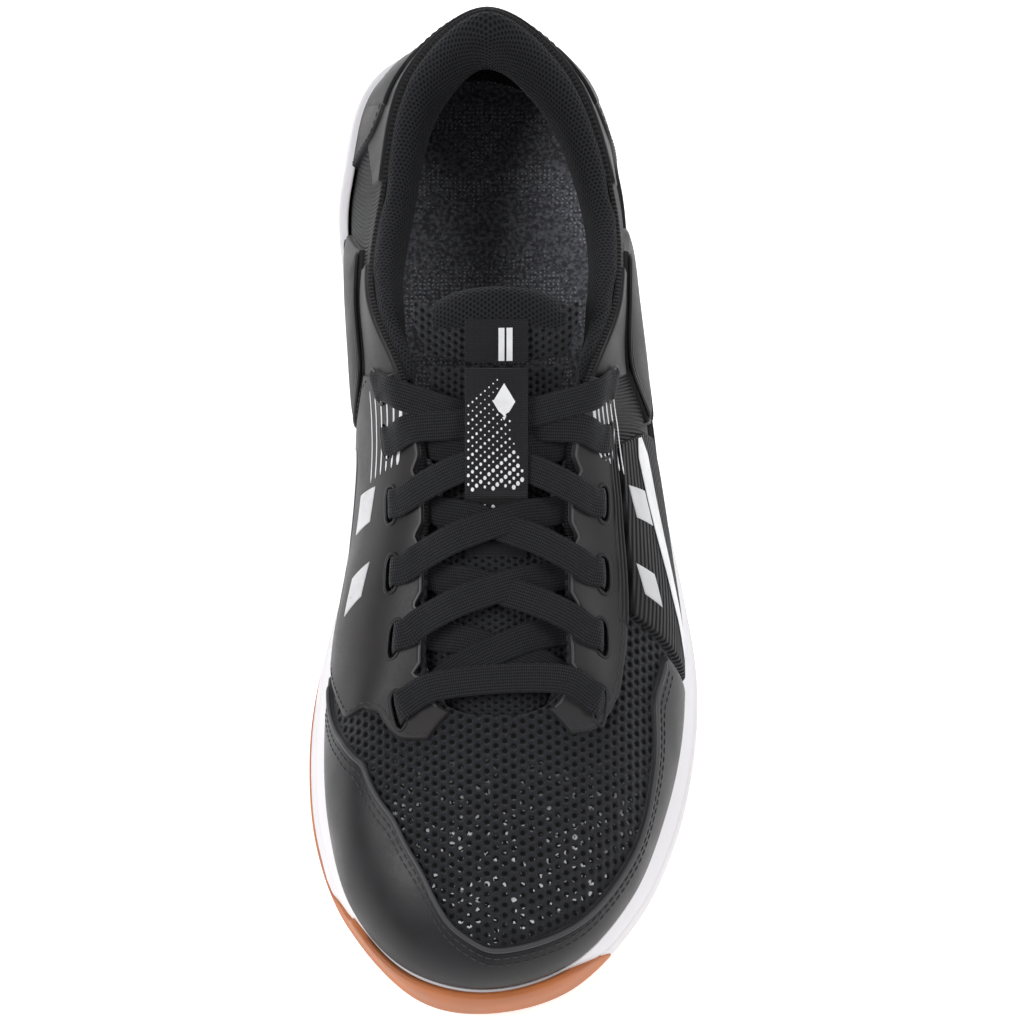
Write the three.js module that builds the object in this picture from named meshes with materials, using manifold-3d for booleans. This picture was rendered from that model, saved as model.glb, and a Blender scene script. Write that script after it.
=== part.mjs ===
// A left court shoe, built as the separate pieces that it is lasted, stitched and cemented from.
// Millimetres, +Z up, toe towards -Y, medial side towards -X, sole resting on z = 0.
import * as THREE from "three";
import { mergeVertices } from "three/addons/utils/BufferGeometryUtils.js";
import Module from "manifold-3d";

const wasm = await Module();
wasm.setup();

// ---- Driving dimensions ------------------------------------------------------------------------
const SOLE_LENGTH = 300; // toe wrap to heel
const FOREFOOT_WIDTH = 112.6; // widest part of the sole
const COLLAR_HEIGHT = 97; // ground to the heel of the topline
const TOE_SPRING = 10; // lift of the sole at the toe tip
const HEEL_BEVEL = 3; // lift of the sole at the back of the heel
const OUTSOLE_THICKNESS = 3.6;
const TREAD_DEPTH = 1.5;
const TREAD_GROOVE = 2.4;
const TREAD_PITCH = 9;
const PIVOT_RADIUS = 17; // ring cut in the tread under the ball of the foot
const WRAP_THICKNESS = 1.7; // toe wrap of the outsole
const RIM_THICKNESS = 0.9; // midsole rim beside the upper
const MARGIN_DEPTH = 8; // how far the upper reaches down inside the midsole rim
const BOARD_THICKNESS = 1.5;
const INSOLE_THICKNESS = 4;
const BASE_THICKNESS = 1.4; // mesh and quarter textile
const OVERLAY_THICKNESS = 1.4;
const TRIM_THICKNESS = 0.6;
const STIFFENER_THICKNESS = 1.5; // toe puff and heel counter
const LINING_THICKNESS = 1.5;
const COLLAR_PAD_DEPTH = 12.5; // how far the collar roll stands in from the topline
const COLLAR_PAD_RISE = 4.2; // how far it stands above the topline
const TONGUE_THICKNESS = 4.5;
const TONGUE_HALF_WIDTH = 22.5;
const TONGUE_CROWN = 8;
const TONGUE_ROLL = 9; // thickness of the padded top of the tongue
const TONGUE_HINGE_Y = 16.5;
const TONGUE_TOP_Y = 36;
const LABEL_HALF_WIDTH = 9;
const LABEL_THICKNESS = 1;
const LACE_WIDTH = 8;
const LACE_THICKNESS = 1.3;
const LACE_CROWN = 4.2; // rise of the lace across the throat, besides its own thickness
const LACE_LAST_CROWN = 0.2; // of the top crossing, whose ends lie over the eyestays
const LACE_LATE_RISE = 2.2; // how late the top crossing climbs towards its slot
const LACE_LIFT = 0.95; // between the lace and the eyestay that it lies on
const SLOT_LENGTH = 11.4;
const SLOT_WIDTH = 3.8;
const AGLET_LENGTH = 12;
const AGLET_GAP = 0.8;
const HEEL_PAD_SIZE = { halfWidth: 20, y0: 58, y1: 118, depth: 7 };
const SHANK_Y = { toe: -6, heel: 44 };
const SHANK_LIFT = 1.6; // underside of the shank above the ground
const GAP = 0.3; // between pieces that touch
const LAYER_GAP = 0.6; // between curved layers that lie on each other
const RIM_GAP = 0.7; // between the upper and the midsole rim

// ---- The last: one surface round the foot ------------------------------------------------------
// Stations run toe, medial side, heel, lateral side. Each has its point on the bite line, its point on
// the topline, and how the section leaves the first (rise, flare) and meets the second (inset, dip).
const DRAWN = { length: 300, width: 112.6, height: 97 };
const STATIONS = [
  { bite: [-5, -146.2, 25.5], top: [-2.5, -77, 62], leave: [24, 1], meet: [35, 8] },
  { bite: [-27, -140.2, 25], top: [-11, -76.5, 61.5], leave: [23, 1.5], meet: [31, 8] },
  { bite: [-42, -122, 24], top: [-19, -72, 61.5], leave: [22, 2], meet: [26, 6] },
  { bite: [-48.5, -98, 23.5], top: [-22.5, -63, 64], leave: [21, 2], meet: [20, 4] },
  { bite: [-50, -72, 24], top: [-22.5, -52, 68], leave: [20, 2], meet: [16, 2.5] },
  { bite: [-47.5, -45, 25], top: [-22.5, -37, 74.5], leave: [22, 3], meet: [15, 3] },
  { bite: [-42, -18, 26], top: [-22.5, -20, 81.5], leave: [24, 5], meet: [14, 5] },
  { bite: [-38.5, 12, 27.5], top: [-24, -2, 88.5], leave: [26, 8], meet: [13, 8] },
  { bite: [-39, 42, 29], top: [-30, 16, 94.5], leave: [26, 8], meet: [10, 12] },
  { bite: [-42.5, 72, 30.5], top: [-39, 45, 87], leave: [22, 4], meet: [3, 16] },
  { bite: [-44, 101, 31.5], top: [-36, 80, 79.5], leave: [18, 2.5], meet: [4, 15] },
  { bite: [-36, 130, 32.5], top: [-28.5, 115, 86], leave: [20, 3], meet: [4, 16] },
  { bite: [-8, 144.5, 33], top: [-5, 131, 97], leave: [25, 2], meet: [4, 22] },
  { bite: [20, 132, 32.5], top: [20, 115, 86], leave: [20, 3], meet: [4, 16] },
  { bite: [31, 104, 31.5], top: [32, 80, 78], leave: [18, 2.5], meet: [2, 15] },
  { bite: [34, 74, 30.5], top: [33, 45, 85.5], leave: [22, 4], meet: [2, 16] },
  { bite: [37.5, 44, 29], top: [24.5, 16, 93.5], leave: [24, 6], meet: [9, 12] },
  { bite: [42, 14, 27.5], top: [19, -2, 88], leave: [24, 5], meet: [13, 8] },
  { bite: [46.5, -15, 26], top: [17.5, -20, 81.5], leave: [23, 4], meet: [14, 5] },
  { bite: [50, -42, 25], top: [17.5, -37, 74.5], leave: [22, 3], meet: [15, 3] },
  { bite: [49.5, -69, 24], top: [17.5, -52, 68], leave: [20, 2], meet: [16, 2.5] },
  { bite: [44, -95, 23.5], top: [17.5, -63, 64], leave: [21, 2], meet: [20, 4] },
  { bite: [34.5, -119, 24], top: [14, -72, 61.5], leave: [22, 2], meet: [26, 6] },
  { bite: [18, -138.5, 25], top: [6, -76.5, 61.5], leave: [23, 1.5], meet: [31, 8] },
];
// The sole's widest line at the same stations.
const SOLE_LINE = [
  [-5, -150, 12], [-26, -144.6, 12], [-45, -121, 10], [-54, -95, 8], [-56.3, -68, 7], [-53.8, -42, 7],
  [-47.5, -16, 8], [-42, 12, 9], [-42, 42, 10], [-46, 72, 10], [-47.5, 100, 10], [-38.5, 134, 11],
  [-8, 150, 11], [22.5, 134, 11], [34.5, 104, 10], [37.5, 74, 10], [41.5, 42, 10], [47, 12, 9],
  [52.5, -16, 8], [56.3, -42, 7], [55.5, -66, 7], [50, -93, 8], [38.5, -119, 10], [19, -142, 12],
];
const COUNT = STATIONS.length;
const HEEL = COUNT / 2; // station at the back of the heel
const scaleX = FOREFOOT_WIDTH / DRAWN.width;
const scaleY = SOLE_LENGTH / DRAWN.length;
const scaleZ = COLLAR_HEIGHT / DRAWN.height;
const UP = new THREE.Vector3(0, 0, 1);

function closedCurve(points) {
  return new THREE.CatmullRomCurve3(points, true, "catmullrom", 0.5);
}
function lastPoint([x, y, z]) {
  return new THREE.Vector3(x * scaleX, y * scaleY, z * scaleZ);
}
const biteCurve = closedCurve(STATIONS.map((s) => lastPoint(s.bite)));
const topCurve = closedCurve(STATIONS.map((s) => lastPoint(s.top)));
const leaveCurve = closedCurve(STATIONS.map((s) => new THREE.Vector3(s.leave[0], s.leave[1], 0)));
const meetCurve = closedCurve(STATIONS.map((s) => new THREE.Vector3(s.meet[0], s.meet[1], 0)));
const soleCurve = closedCurve(SOLE_LINE.map(([x, y, z]) => new THREE.Vector3(x * scaleX, y * scaleY, z)));

function at(curve, t) {
  return curve.getPoint((((t % COUNT) + COUNT) % COUNT) / COUNT);
}
// Level direction pointing out of the shoe, square to a closed curve.
function outward(curve, t) {
  const along = at(curve, t + 0.05).sub(at(curve, t - 0.05));
  return new THREE.Vector3(-along.y, along.x, 0).normalize();
}
// Point on the last: t is the station, r runs 0 at the bite line to 1 at the topline, and a negative r
// runs straight down into the midsole rim, MARGIN_DEPTH at -0.1.
function last(t, r) {
  const bite = at(biteCurve, t);
  if (r < 0) return bite.addScaledVector(UP, (r / 0.1) * MARGIN_DEPTH);
  const top = at(topCurve, t);
  const leave = at(leaveCurve, t);
  const meet = at(meetCurve, t);
  const out = outward(biteCurve, t);
  const low = bite.clone().addScaledVector(UP, leave.x).addScaledVector(out, leave.y);
  const high = top.clone().addScaledVector(out, meet.x).addScaledVector(UP, -meet.y);
  const q = 1 - r;
  return bite
    .multiplyScalar(q * q * q)
    .addScaledVector(low, 3 * q * q * r)
    .addScaledVector(high, 3 * q * r * r)
    .addScaledVector(top, r * r * r);
}
// Directions on the last: along the stations, up the section, and square out of it.
function axes(t, r) {
  const low = Math.min(r, 0.985);
  const along = last(t + 0.04, low).sub(last(t - 0.04, low)).normalize();
  const rise = last(t, low + 0.015).sub(last(t, low - 0.015)).normalize();
  const out = rise.clone().cross(along).normalize();
  return { along, rise, out };
}
function skin(t, r, offset) {
  return last(t, r).addScaledVector(axes(t, r).out, offset);
}

// ---- Closed meshes -----------------------------------------------------------------------------
// A solid from an outer and an inner grid of points; loop joins the last row of each to its first.
function gridSolid(outer, inner, loop = false) {
  const rows = outer.length;
  const columns = outer[0].length;
  const corners = [];
  const tri = (a, b, c) => corners.push(a, b, c);
  const quad = (a, b, c, d) => {
    tri(a, b, c);
    tri(a, c, d);
  };
  const steps = loop ? rows : rows - 1;
  for (let i = 0; i < steps; i++) {
    const k = (i + 1) % rows;
    for (let j = 0; j < columns - 1; j++) {
      quad(outer[i][j], outer[i][j + 1], outer[k][j + 1], outer[k][j]);
      quad(inner[i][j], inner[k][j], inner[k][j + 1], inner[i][j + 1]);
    }
    const e = columns - 1;
    quad(outer[i][0], outer[k][0], inner[k][0], inner[i][0]);
    quad(outer[i][e], inner[i][e], inner[k][e], outer[k][e]);
  }
  if (!loop) {
    const e = rows - 1;
    for (let j = 0; j < columns - 1; j++) {
      quad(outer[0][j], inner[0][j], inner[0][j + 1], outer[0][j + 1]);
      quad(outer[e][j], outer[e][j + 1], inner[e][j + 1], inner[e][j]);
    }
  }
  return geometryOf(corners);
}
function geometryOf(corners) {
  const positions = new Float32Array(corners.length * 3);
  corners.forEach((p, i) => positions.set([p.x, p.y, p.z], i * 3));
  const loose = new THREE.BufferGeometry();
  loose.setAttribute("position", new THREE.BufferAttribute(positions, 3));
  const merged = mergeVertices(loose, 1e-3);
  const index = merged.index.array;
  const kept = [];
  for (let i = 0; i < index.length; i += 3) {
    const [a, b, c] = [index[i], index[i + 1], index[i + 2]];
    if (a !== b && b !== c && a !== c) kept.push(a, b, c);
  }
  return merged.setIndex(kept);
}
// Closed loops of points stacked into a solid, its two ends closed by rungs between mirrored stations.
function ringSolid(rings) {
  const corners = [];
  const n = rings[0].length;
  for (let k = 0; k < rings.length - 1; k++) {
    for (let i = 0; i < n; i++) {
      const j = (i + 1) % n;
      const [a, b, c, d] = [rings[k][i], rings[k + 1][i], rings[k + 1][j], rings[k][j]];
      corners.push(a, b, c, a, c, d);
    }
  }
  rungCap(rings[0], corners, false);
  rungCap(rings[rings.length - 1], corners, true);
  return geometryOf(corners);
}
function rungCap(ring, corners, up) {
  const n = ring.length;
  const push = (a, b, c) => (up ? corners.push(a, c, b) : corners.push(a, b, c));
  push(ring[0], ring[1], ring[n - 1]);
  for (let k = 1; k < n / 2 - 1; k++) {
    push(ring[k], ring[k + 1], ring[n - k - 1]);
    push(ring[k], ring[n - k - 1], ring[n - k]);
  }
  push(ring[n / 2 - 1], ring[n / 2], ring[n / 2 + 1]);
}
function toSolid(geometry) {
  const bare = geometry.index ? geometry.toNonIndexed() : geometry.clone();
  bare.deleteAttribute("normal");
  bare.deleteAttribute("uv");
  const merged = mergeVertices(bare, 1e-3);
  const triVerts = new Uint32Array(merged.index.array);
  const vertProperties = merged.attributes.position.array;
  return new wasm.Manifold(new wasm.Mesh({ numProp: 3, vertProperties, triVerts }));
}
function fromSolid(solid) {
  const mesh = solid.getMesh();
  const geometry = new THREE.BufferGeometry();
  geometry.setAttribute("position", new THREE.BufferAttribute(new Float32Array(mesh.vertProperties), 3));
  return geometry.setIndex(new THREE.BufferAttribute(new Uint32Array(mesh.triVerts), 1));
}
function cut(geometry, tools) {
  return fromSolid(tools.reduce((solid, tool) => solid.subtract(toSolid(tool)), toSolid(geometry)));
}
function boxBetween(x0, x1, y0, y1, z0, z1) {
  const box = new THREE.BoxGeometry(x1 - x0, y1 - y0, z1 - z0);
  return box.translate((x0 + x1) / 2, (y0 + y1) / 2, (z0 + z1) / 2);
}
// Straight-line value between listed [t, value] pairs.
function profile(pairs) {
  return (t) => {
    const next = pairs.findIndex(([s]) => s >= t);
    if (next <= 0) return pairs[next === 0 ? 0 : pairs.length - 1][1];
    const [s0, v0] = pairs[next - 1];
    const [s1, v1] = pairs[next];
    return v0 + ((v1 - v0) * (t - s0)) / (s1 - s0);
  };
}
// A panel that lies on the last between two stations, its lower and upper edges given as profiles.
function panel({ from, to, low, high, inner, outer, steps, rows }) {
  const outerGrid = [];
  const innerGrid = [];
  for (let i = 0; i <= steps; i++) {
    const t = from + ((to - from) * i) / steps;
    const r0 = low(t);
    const r1 = high(t);
    const outerRow = [];
    const innerRow = [];
    for (let j = 0; j <= rows; j++) {
      const r = r0 + ((r1 - r0) * j) / rows;
      outerRow.push(skin(t, r, outer));
      innerRow.push(skin(t, r, inner));
    }
    outerGrid.push(outerRow);
    innerGrid.push(innerRow);
  }
  return gridSolid(outerGrid, innerGrid);
}
const constant = (value) => () => value;
// The same edge on the lateral side, where stations count backwards.
const mirrored = (edge) => (t) => edge(-t);

// ---- Layers, outwards from the last ------------------------------------------------------------
const BASE = { inner: -BASE_THICKNESS, outer: 0 };
const OVERLAY = { inner: LAYER_GAP, outer: LAYER_GAP + OVERLAY_THICKNESS };
const TRIM = { inner: OVERLAY.outer + LAYER_GAP, outer: OVERLAY.outer + LAYER_GAP + TRIM_THICKNESS };
const STIFFENER = { outer: BASE.inner - LAYER_GAP, inner: BASE.inner - LAYER_GAP - STIFFENER_THICKNESS };
const LINING = {
  outer: STIFFENER.inner - LAYER_GAP,
  inner: STIFFENER.inner - LAYER_GAP - LINING_THICKNESS,
};
const BASE_FOOT = -0.1; // the upper's lower edge, level with the board
const OVERLAY_FOOT = 0.035; // overlays start just above the midsole rim
const OVERLAY_TOP = 0.975; // and stop short of the throat edge

// ---- Sole --------------------------------------------------------------------------------------
const SAMPLES_PER_STATION = 3;
const SOLE_SAMPLES = SAMPLES_PER_STATION * COUNT;
const SPRING_START = -95 * scaleY;
const BEVEL_START = 125 * scaleY;
const TOE_TIP = -150 * scaleY;
const HEEL_TIP = 150 * scaleY;
const PLATE_TOP = 0.2; // share of the sole's side wall that the outsole plate takes

function groundLevel(y) {
  if (y < SPRING_START) return TOE_SPRING * ((SPRING_START - y) / (SPRING_START - TOE_TIP)) ** 2;
  if (y > BEVEL_START) return HEEL_BEVEL * ((y - BEVEL_START) / (HEEL_TIP - BEVEL_START)) ** 2;
  return 0;
}
// Side wall of the sole at a station: u runs 0 at the ground edge to 1 at the rim beside the upper.
function soleSide(t, u) {
  const wide = at(soleCurve, t);
  const out = outward(soleCurve, t);
  const foot = wide.clone().addScaledVector(out, -2.5);
  foot.z = groundLevel(foot.y);
  const shoulder = foot.clone().addScaledVector(out, 2.2);
  shoulder.z = foot.z + OUTSOLE_THICKNESS;
  wide.z += groundLevel(wide.y) * 0.4;
  const rim = at(biteCurve, t).addScaledVector(outward(biteCurve, t), rimReach(t));
  const waist = wide.clone().lerp(rim, 0.55).addScaledVector(out, 0.4);
  const line = new THREE.CatmullRomCurve3([foot, shoulder, wide, waist, rim], false, "centripetal");
  return line.getPoint(u);
}
// The rim stands further out at the toe, where the outsole's wrap covers it.
function rimReach(t) {
  return RIM_GAP + RIM_THICKNESS + wrapCover(t) * (GAP + WRAP_THICKNESS);
}
// 1 where the toe wrap reaches the rim, falling to 0 at the stations where it ends.
function wrapCover(t) {
  const s = signedStation(t);
  const end = s > 0 ? WRAP.medialEnd : WRAP.lateralEnd;
  const full = s > 0 ? WRAP.medialFull : WRAP.lateralFull;
  return THREE.MathUtils.clamp((end - s) / (end - full), 0, 1);
}
function signedStation(t) {
  const s = ((t % COUNT) + COUNT) % COUNT;
  return s > HEEL ? s - COUNT : s;
}
const WRAP = { medialFull: 1.6, medialEnd: 2.6, lateralFull: -0.9, lateralEnd: -1.6 };

function ring(u, shrink = 0, lift = 0) {
  const points = [];
  for (let i = 0; i < SOLE_SAMPLES; i++) {
    const t = i / SAMPLES_PER_STATION;
    const p = soleSide(t, u).addScaledVector(outward(soleCurve, t), -shrink);
    p.z += lift;
    points.push(p);
  }
  return points;
}
function biteRing(offset, drop) {
  const points = [];
  for (let i = 0; i < SOLE_SAMPLES; i++) {
    const t = i / SAMPLES_PER_STATION;
    const p = at(biteCurve, t).addScaledVector(outward(biteCurve, t), offset);
    p.z -= drop;
    points.push(p);
  }
  return points;
}
function wrapPanel(reachIn, reachOut, overshoot) {
  const outerGrid = [];
  const innerGrid = [];
  const steps = 20;
  for (let i = 0; i <= steps; i++) {
    const t = WRAP.lateralEnd + ((WRAP.medialEnd - WRAP.lateralEnd) * i) / steps;
    const top = PLATE_TOP + (1 - PLATE_TOP) * wrapCover(t) ** 0.5;
    const out = outward(soleCurve, t);
    const outerRow = [];
    const innerRow = [];
    for (let j = 0; j <= 4; j++) {
      const u = PLATE_TOP * 0.6 + ((Math.min(top + overshoot, 1) - PLATE_TOP * 0.6) * j) / 4;
      const lift = j === 4 ? overshoot * 10 : 0;
      outerRow.push(soleSide(t, u).addScaledVector(out, reachOut).addScaledVector(UP, lift));
      innerRow.push(soleSide(t, u).addScaledVector(out, -reachIn).addScaledVector(UP, lift));
    }
    outerGrid.push(outerRow);
    innerGrid.push(innerRow);
  }
  return gridSolid(outerGrid, innerGrid);
}
// A zigzag groove across the sole at one place along it.
function chevronGroove(y, halfWidth) {
  const points = [];
  const legs = 6;
  for (let i = 0; i <= legs; i++) {
    points.push([-halfWidth + (2 * halfWidth * i) / legs, y + (i % 2 ? TREAD_PITCH * 0.45 : 0)]);
  }
  const shape = new THREE.Shape();
  points.forEach(([x, v], i) => (i ? shape.lineTo(x, v) : shape.moveTo(x, v)));
  points.reverse().forEach(([x, v]) => shape.lineTo(x, v + TREAD_GROOVE));
  const groove = new THREE.ExtrudeGeometry(shape, { depth: TREAD_DEPTH * 2, bevelEnabled: false });
  return groove.translate(0, 0, -TREAD_DEPTH);
}
function pivotGroove() {
  const shape = new THREE.Shape();
  shape.absarc(0, 0, PIVOT_RADIUS, 0, Math.PI * 2, false);
  const hole = new THREE.Path();
  hole.absarc(0, 0, PIVOT_RADIUS - TREAD_GROOVE, 0, Math.PI * 2, true);
  shape.holes.push(hole);
  const options = { depth: TREAD_DEPTH * 2, bevelEnabled: false, curveSegments: 20 };
  return new THREE.ExtrudeGeometry(shape, options).translate(-12 * scaleX, -62 * scaleY, -TREAD_DEPTH);
}
function soleTools() {
  const grooves = [pivotGroove()];
  for (let y = SPRING_START + 4; y < SHANK_Y.toe - TREAD_PITCH; y += TREAD_PITCH) {
    const nearPivot = Math.abs(y + TREAD_PITCH / 2 - -62 * scaleY) < PIVOT_RADIUS + TREAD_GROOVE;
    if (!nearPivot) grooves.push(chevronGroove(y, 30 * scaleX));
  }
  for (let y = SHANK_Y.heel + TREAD_PITCH; y < BEVEL_START - TREAD_PITCH; y += TREAD_PITCH) {
    grooves.push(chevronGroove(y, 24 * scaleX));
  }
  return grooves;
}
function buildSole() {
  const plate = ringSolid([ring(0), ring(PLATE_TOP * 0.5), ring(PLATE_TOP)]);
  const far = SOLE_LENGTH;
  const wide = FOREFOOT_WIDTH;
  const whole = cut(plate, soleTools());
  const behindToe = boxBetween(-wide, wide, SHANK_Y.toe, far, -10, 90);
  const aheadOfHeel = boxBetween(-wide, wide, -far, SHANK_Y.heel, -10, 90);
  const wrap = toSolid(wrapPanel(WRAP_THICKNESS, 0, 0));
  const toe = fromSolid(toSolid(cut(whole, [behindToe])).add(wrap));
  const heel = cut(whole, [aheadOfHeel]);
  const shank = cut(plate, [
    boxBetween(-wide, wide, -far, SHANK_Y.toe + GAP, -10, 90),
    boxBetween(-wide, wide, SHANK_Y.heel - GAP, far, -10, 90),
    boxBetween(-wide, wide, -far, far, -10, SHANK_LIFT),
  ]);
  const sides = [0.35, 0.5, 0.65, 0.82].map((u) => ring(u));
  const block = ringSolid([
    ring(PLATE_TOP, 0, GAP),
    ...sides,
    ring(1),
    biteRing(RIM_GAP, 0.4),
    biteRing(RIM_GAP, MARGIN_DEPTH + GAP),
  ]);
  const pad = HEEL_PAD_SIZE;
  const floor = heelBoardLevel() - GAP;
  const pocket = roundedSlab(pad, GAP, floor - pad.depth - GAP, floor + 10);
  const cushion = roundedSlab(pad, 0, floor - pad.depth, floor - GAP);
  const midsole = cut(block, [wrapPanel(WRAP_THICKNESS + GAP, 4, 0.03), pocket]);
  return { toe, heel, shank, midsole, cushion };
}
// Lowest level of the board over the heel pad, so that the pad stays below it.
function heelBoardLevel() {
  return last(8.3, BASE_FOOT).z - GAP;
}
function roundedSlab({ halfWidth, y0, y1 }, grow, z0, z1) {
  const w = (halfWidth + grow) * scaleX;
  const middle = new THREE.Vector2(-4 * scaleX, ((y0 + y1) / 2) * scaleY);
  const half = ((y1 - y0) / 2) * scaleY + grow;
  const shape = new THREE.Shape();
  shape.absellipse(middle.x, middle.y, w, half, 0, Math.PI * 2, false, 0);
  const options = { depth: z1 - z0, bevelEnabled: false, curveSegments: 24 };
  return new THREE.ExtrudeGeometry(shape, options).translate(0, 0, z0);
}
const BOARD_INSET = BASE_THICKNESS + GAP;
function buildBoard() {
  return ringSolid([
    biteRing(-BOARD_INSET, MARGIN_DEPTH),
    biteRing(-BOARD_INSET, MARGIN_DEPTH - BOARD_THICKNESS),
  ]);
}
function buildInsole() {
  const under = MARGIN_DEPTH - BOARD_THICKNESS - GAP;
  return ringSolid([
    biteRing(-BOARD_INSET - 0.6, under),
    biteRing(-BOARD_INSET - 0.1, under - INSOLE_THICKNESS),
    biteRing(-BOARD_INSET - 2, under - INSOLE_THICKNESS),
    biteRing(-BOARD_INSET - 8, under - INSOLE_THICKNESS + 1.5),
  ]);
}

// ---- Upper: base, stiffeners and lining --------------------------------------------------------
const VAMP_SEAM = 5.5;
const SEAM_GAP = 0.03; // in stations
function basePanel(from, to, steps) {
  return panel({ ...BASE, from, to, steps, rows: 8, low: constant(BASE_FOOT), high: constant(1) });
}
const PUFF_DEEPER = 0.2; // than the heel counter, because the toe curves more tightly
function buildPuff() {
  const layer = { outer: STIFFENER.outer - PUFF_DEEPER, inner: STIFFENER.inner - PUFF_DEEPER };
  const high = profile([[-3, 0.12], [-2, 0.3], [0, 0.36], [2, 0.3], [3, 0.12]]);
  return panel({ ...layer, from: -3, to: 3, steps: 16, rows: 3, low: constant(0.01), high });
}
function buildCounter() {
  const high = profile([[9.2, 0.15], [10.4, 0.45], [13.6, 0.45], [14.8, 0.15]]);
  return panel({ ...STIFFENER, from: 9.2, to: 14.8, steps: 16, rows: 3, low: constant(0.01), high });
}
function buildLining() {
  const options = { from: COLLAR.from + 0.1, to: COLLAR.to - 0.1, steps: 26, rows: 3 };
  return panel({ ...LINING, ...options, low: constant(0.01), high: constant(COLLAR_PAD_FOOT - 0.03) });
}
const COLLAR = {
  from: 8.1, to: 15.9, // stations where the roll ends
  end: 0.3, side: 0.72, // share of its full depth at its ends and along the sides
  fade: 0.9, heelFrom: 1.8, heelTo: 3.4, // stations from an end over which it swells
};
const COLLAR_PAD_FOOT = 0.5;
// The foam roll round the foot opening: a closed section carried along the topline.
function buildCollarPad() {
  const against = BASE.inner - LAYER_GAP;
  const section = (t) => {
    const top = at(topCurve, t);
    const out = outward(topCurve, t);
    const beside = (a, b) => top.clone().addScaledVector(out, a).addScaledVector(UP, b);
    const swell = collarSwell(t);
    const deep = COLLAR_PAD_DEPTH * swell;
    const rise = COLLAR_PAD_RISE * swell;
    return [
      skin(t, COLLAR_PAD_FOOT, against),
      skin(t, 0.72, against),
      skin(t, 0.93, against),
      beside(-2, rise * 0.4),
      beside(-2 - deep * 0.24, rise),
      beside(-2 - deep * 0.54, rise * 0.75),
      beside(-2 - deep * 0.78, -2),
      beside(-2 - deep * 0.82, -9),
      skin(t, 0.68, against - deep * 0.72),
      skin(t, COLLAR_PAD_FOOT, against - deep * 0.4),
    ];
  };
  return sweepSections(sectionsAlong(COLLAR.from, COLLAR.to, 31, section));
}
// The roll is slim where it starts beside the tongue, fuller along the sides and fullest at the heel.
function collarSwell(t) {
  const inside = Math.min(t - COLLAR.from, COLLAR.to - t);
  const sides = (COLLAR.side - COLLAR.end) * THREE.MathUtils.smoothstep(inside, 0, COLLAR.fade);
  const heel = (1 - COLLAR.side) * THREE.MathUtils.smoothstep(inside, COLLAR.heelFrom, COLLAR.heelTo);
  return COLLAR.end + sides + heel;
}
function sectionsAlong(from, to, steps, section) {
  return Array.from({ length: steps + 1 }, (_, i) => section(from + ((to - from) * i) / steps));
}
// Closed sections joined into a bar; each end is closed by a fan from its middle.
function sweepSections(sections) {
  const corners = [];
  const n = sections[0].length;
  for (let i = 0; i < sections.length - 1; i++) {
    for (let j = 0; j < n; j++) {
      const k = (j + 1) % n;
      const [a, b, c, d] = [sections[i][j], sections[i][k], sections[i + 1][k], sections[i + 1][j]];
      corners.push(a, b, c, a, c, d);
    }
  }
  const ends = [sections[0], sections[sections.length - 1]];
  ends.forEach((loop, end) => {
    const middle = loop.reduce((sum, p) => sum.add(p), new THREE.Vector3()).divideScalar(n);
    for (let j = 0; j < n; j++) {
      const k = (j + 1) % n;
      if (end) corners.push(middle, loop[j], loop[k]);
      else corners.push(middle, loop[k], loop[j]);
    }
  });
  return geometryOf(corners);
}

// ---- Upper: overlays ---------------------------------------------------------------------------
const toeEdge = profile([
  [-4.5, 0.37], [-3.8, 0.45], [-3.1, 0.37], [-2.2, 0.3], [-1.2, 0.265], [0, 0.265], [0.5, 0.36],
  [0.9, 0.51], [1.4, 0.6], [2.3, 0.61], [3.2, 0.46], [4.7, 0.12],
]);
const medialFoot = profile([
  [1.4, 0.87], [1.9, 0.8], [2.7, 0.73], [3.15, 0.63], [3.5, 0.46], [4.1, 0.33], [4.75, 0.16],
  [4.9, OVERLAY_FOOT], [6.3, OVERLAY_FOOT], [7.2, 0.33], [7.6, 0.5], [8.0, 0.64],
]);
const lateralSeam = profile([
  [1.6, 0.87], [2.3, 0.78], [3.3, 0.69], [4.2, 0.64], [5.4, 0.65], [6.2, 0.66], [7, 0.7], [7.95, 0.8],
]);
const PANEL_GAP = 0.025;
const leafTop = profile([[7.3, 0.29], [7.6, 0.45], [8, 0.6], [8.4, 0.66], [9, 0.76], [9.5, 0.8]]);
const leafFoot = profile([[7.3, 0.25], [8, 0.2], [9.5, 0.2]]);
const heelHalf = profile([[6.6, 0.06], [7.3, 0.17], [9.5, 0.17], [10.1, 0.24], [10.6, 0.8], [12, 0.92]]);
const heelTop = (t) => heelHalf(t < HEEL ? t : COUNT - t);
// Lace slots, toe to ankle: station and height on the last, medial then lateral.
const MEDIAL_SLOTS = [[2.33, 0.84], [3.9, 0.82], [5, 0.79], [6.05, 0.77], [7, 0.76], [7.85, 0.79]];
const LATERAL_SLOTS = [[-2.6, 0.81], [-4, 0.8], [-5, 0.79], [-6.05, 0.78], [-7, 0.77], [-7.85, 0.8]];

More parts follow.
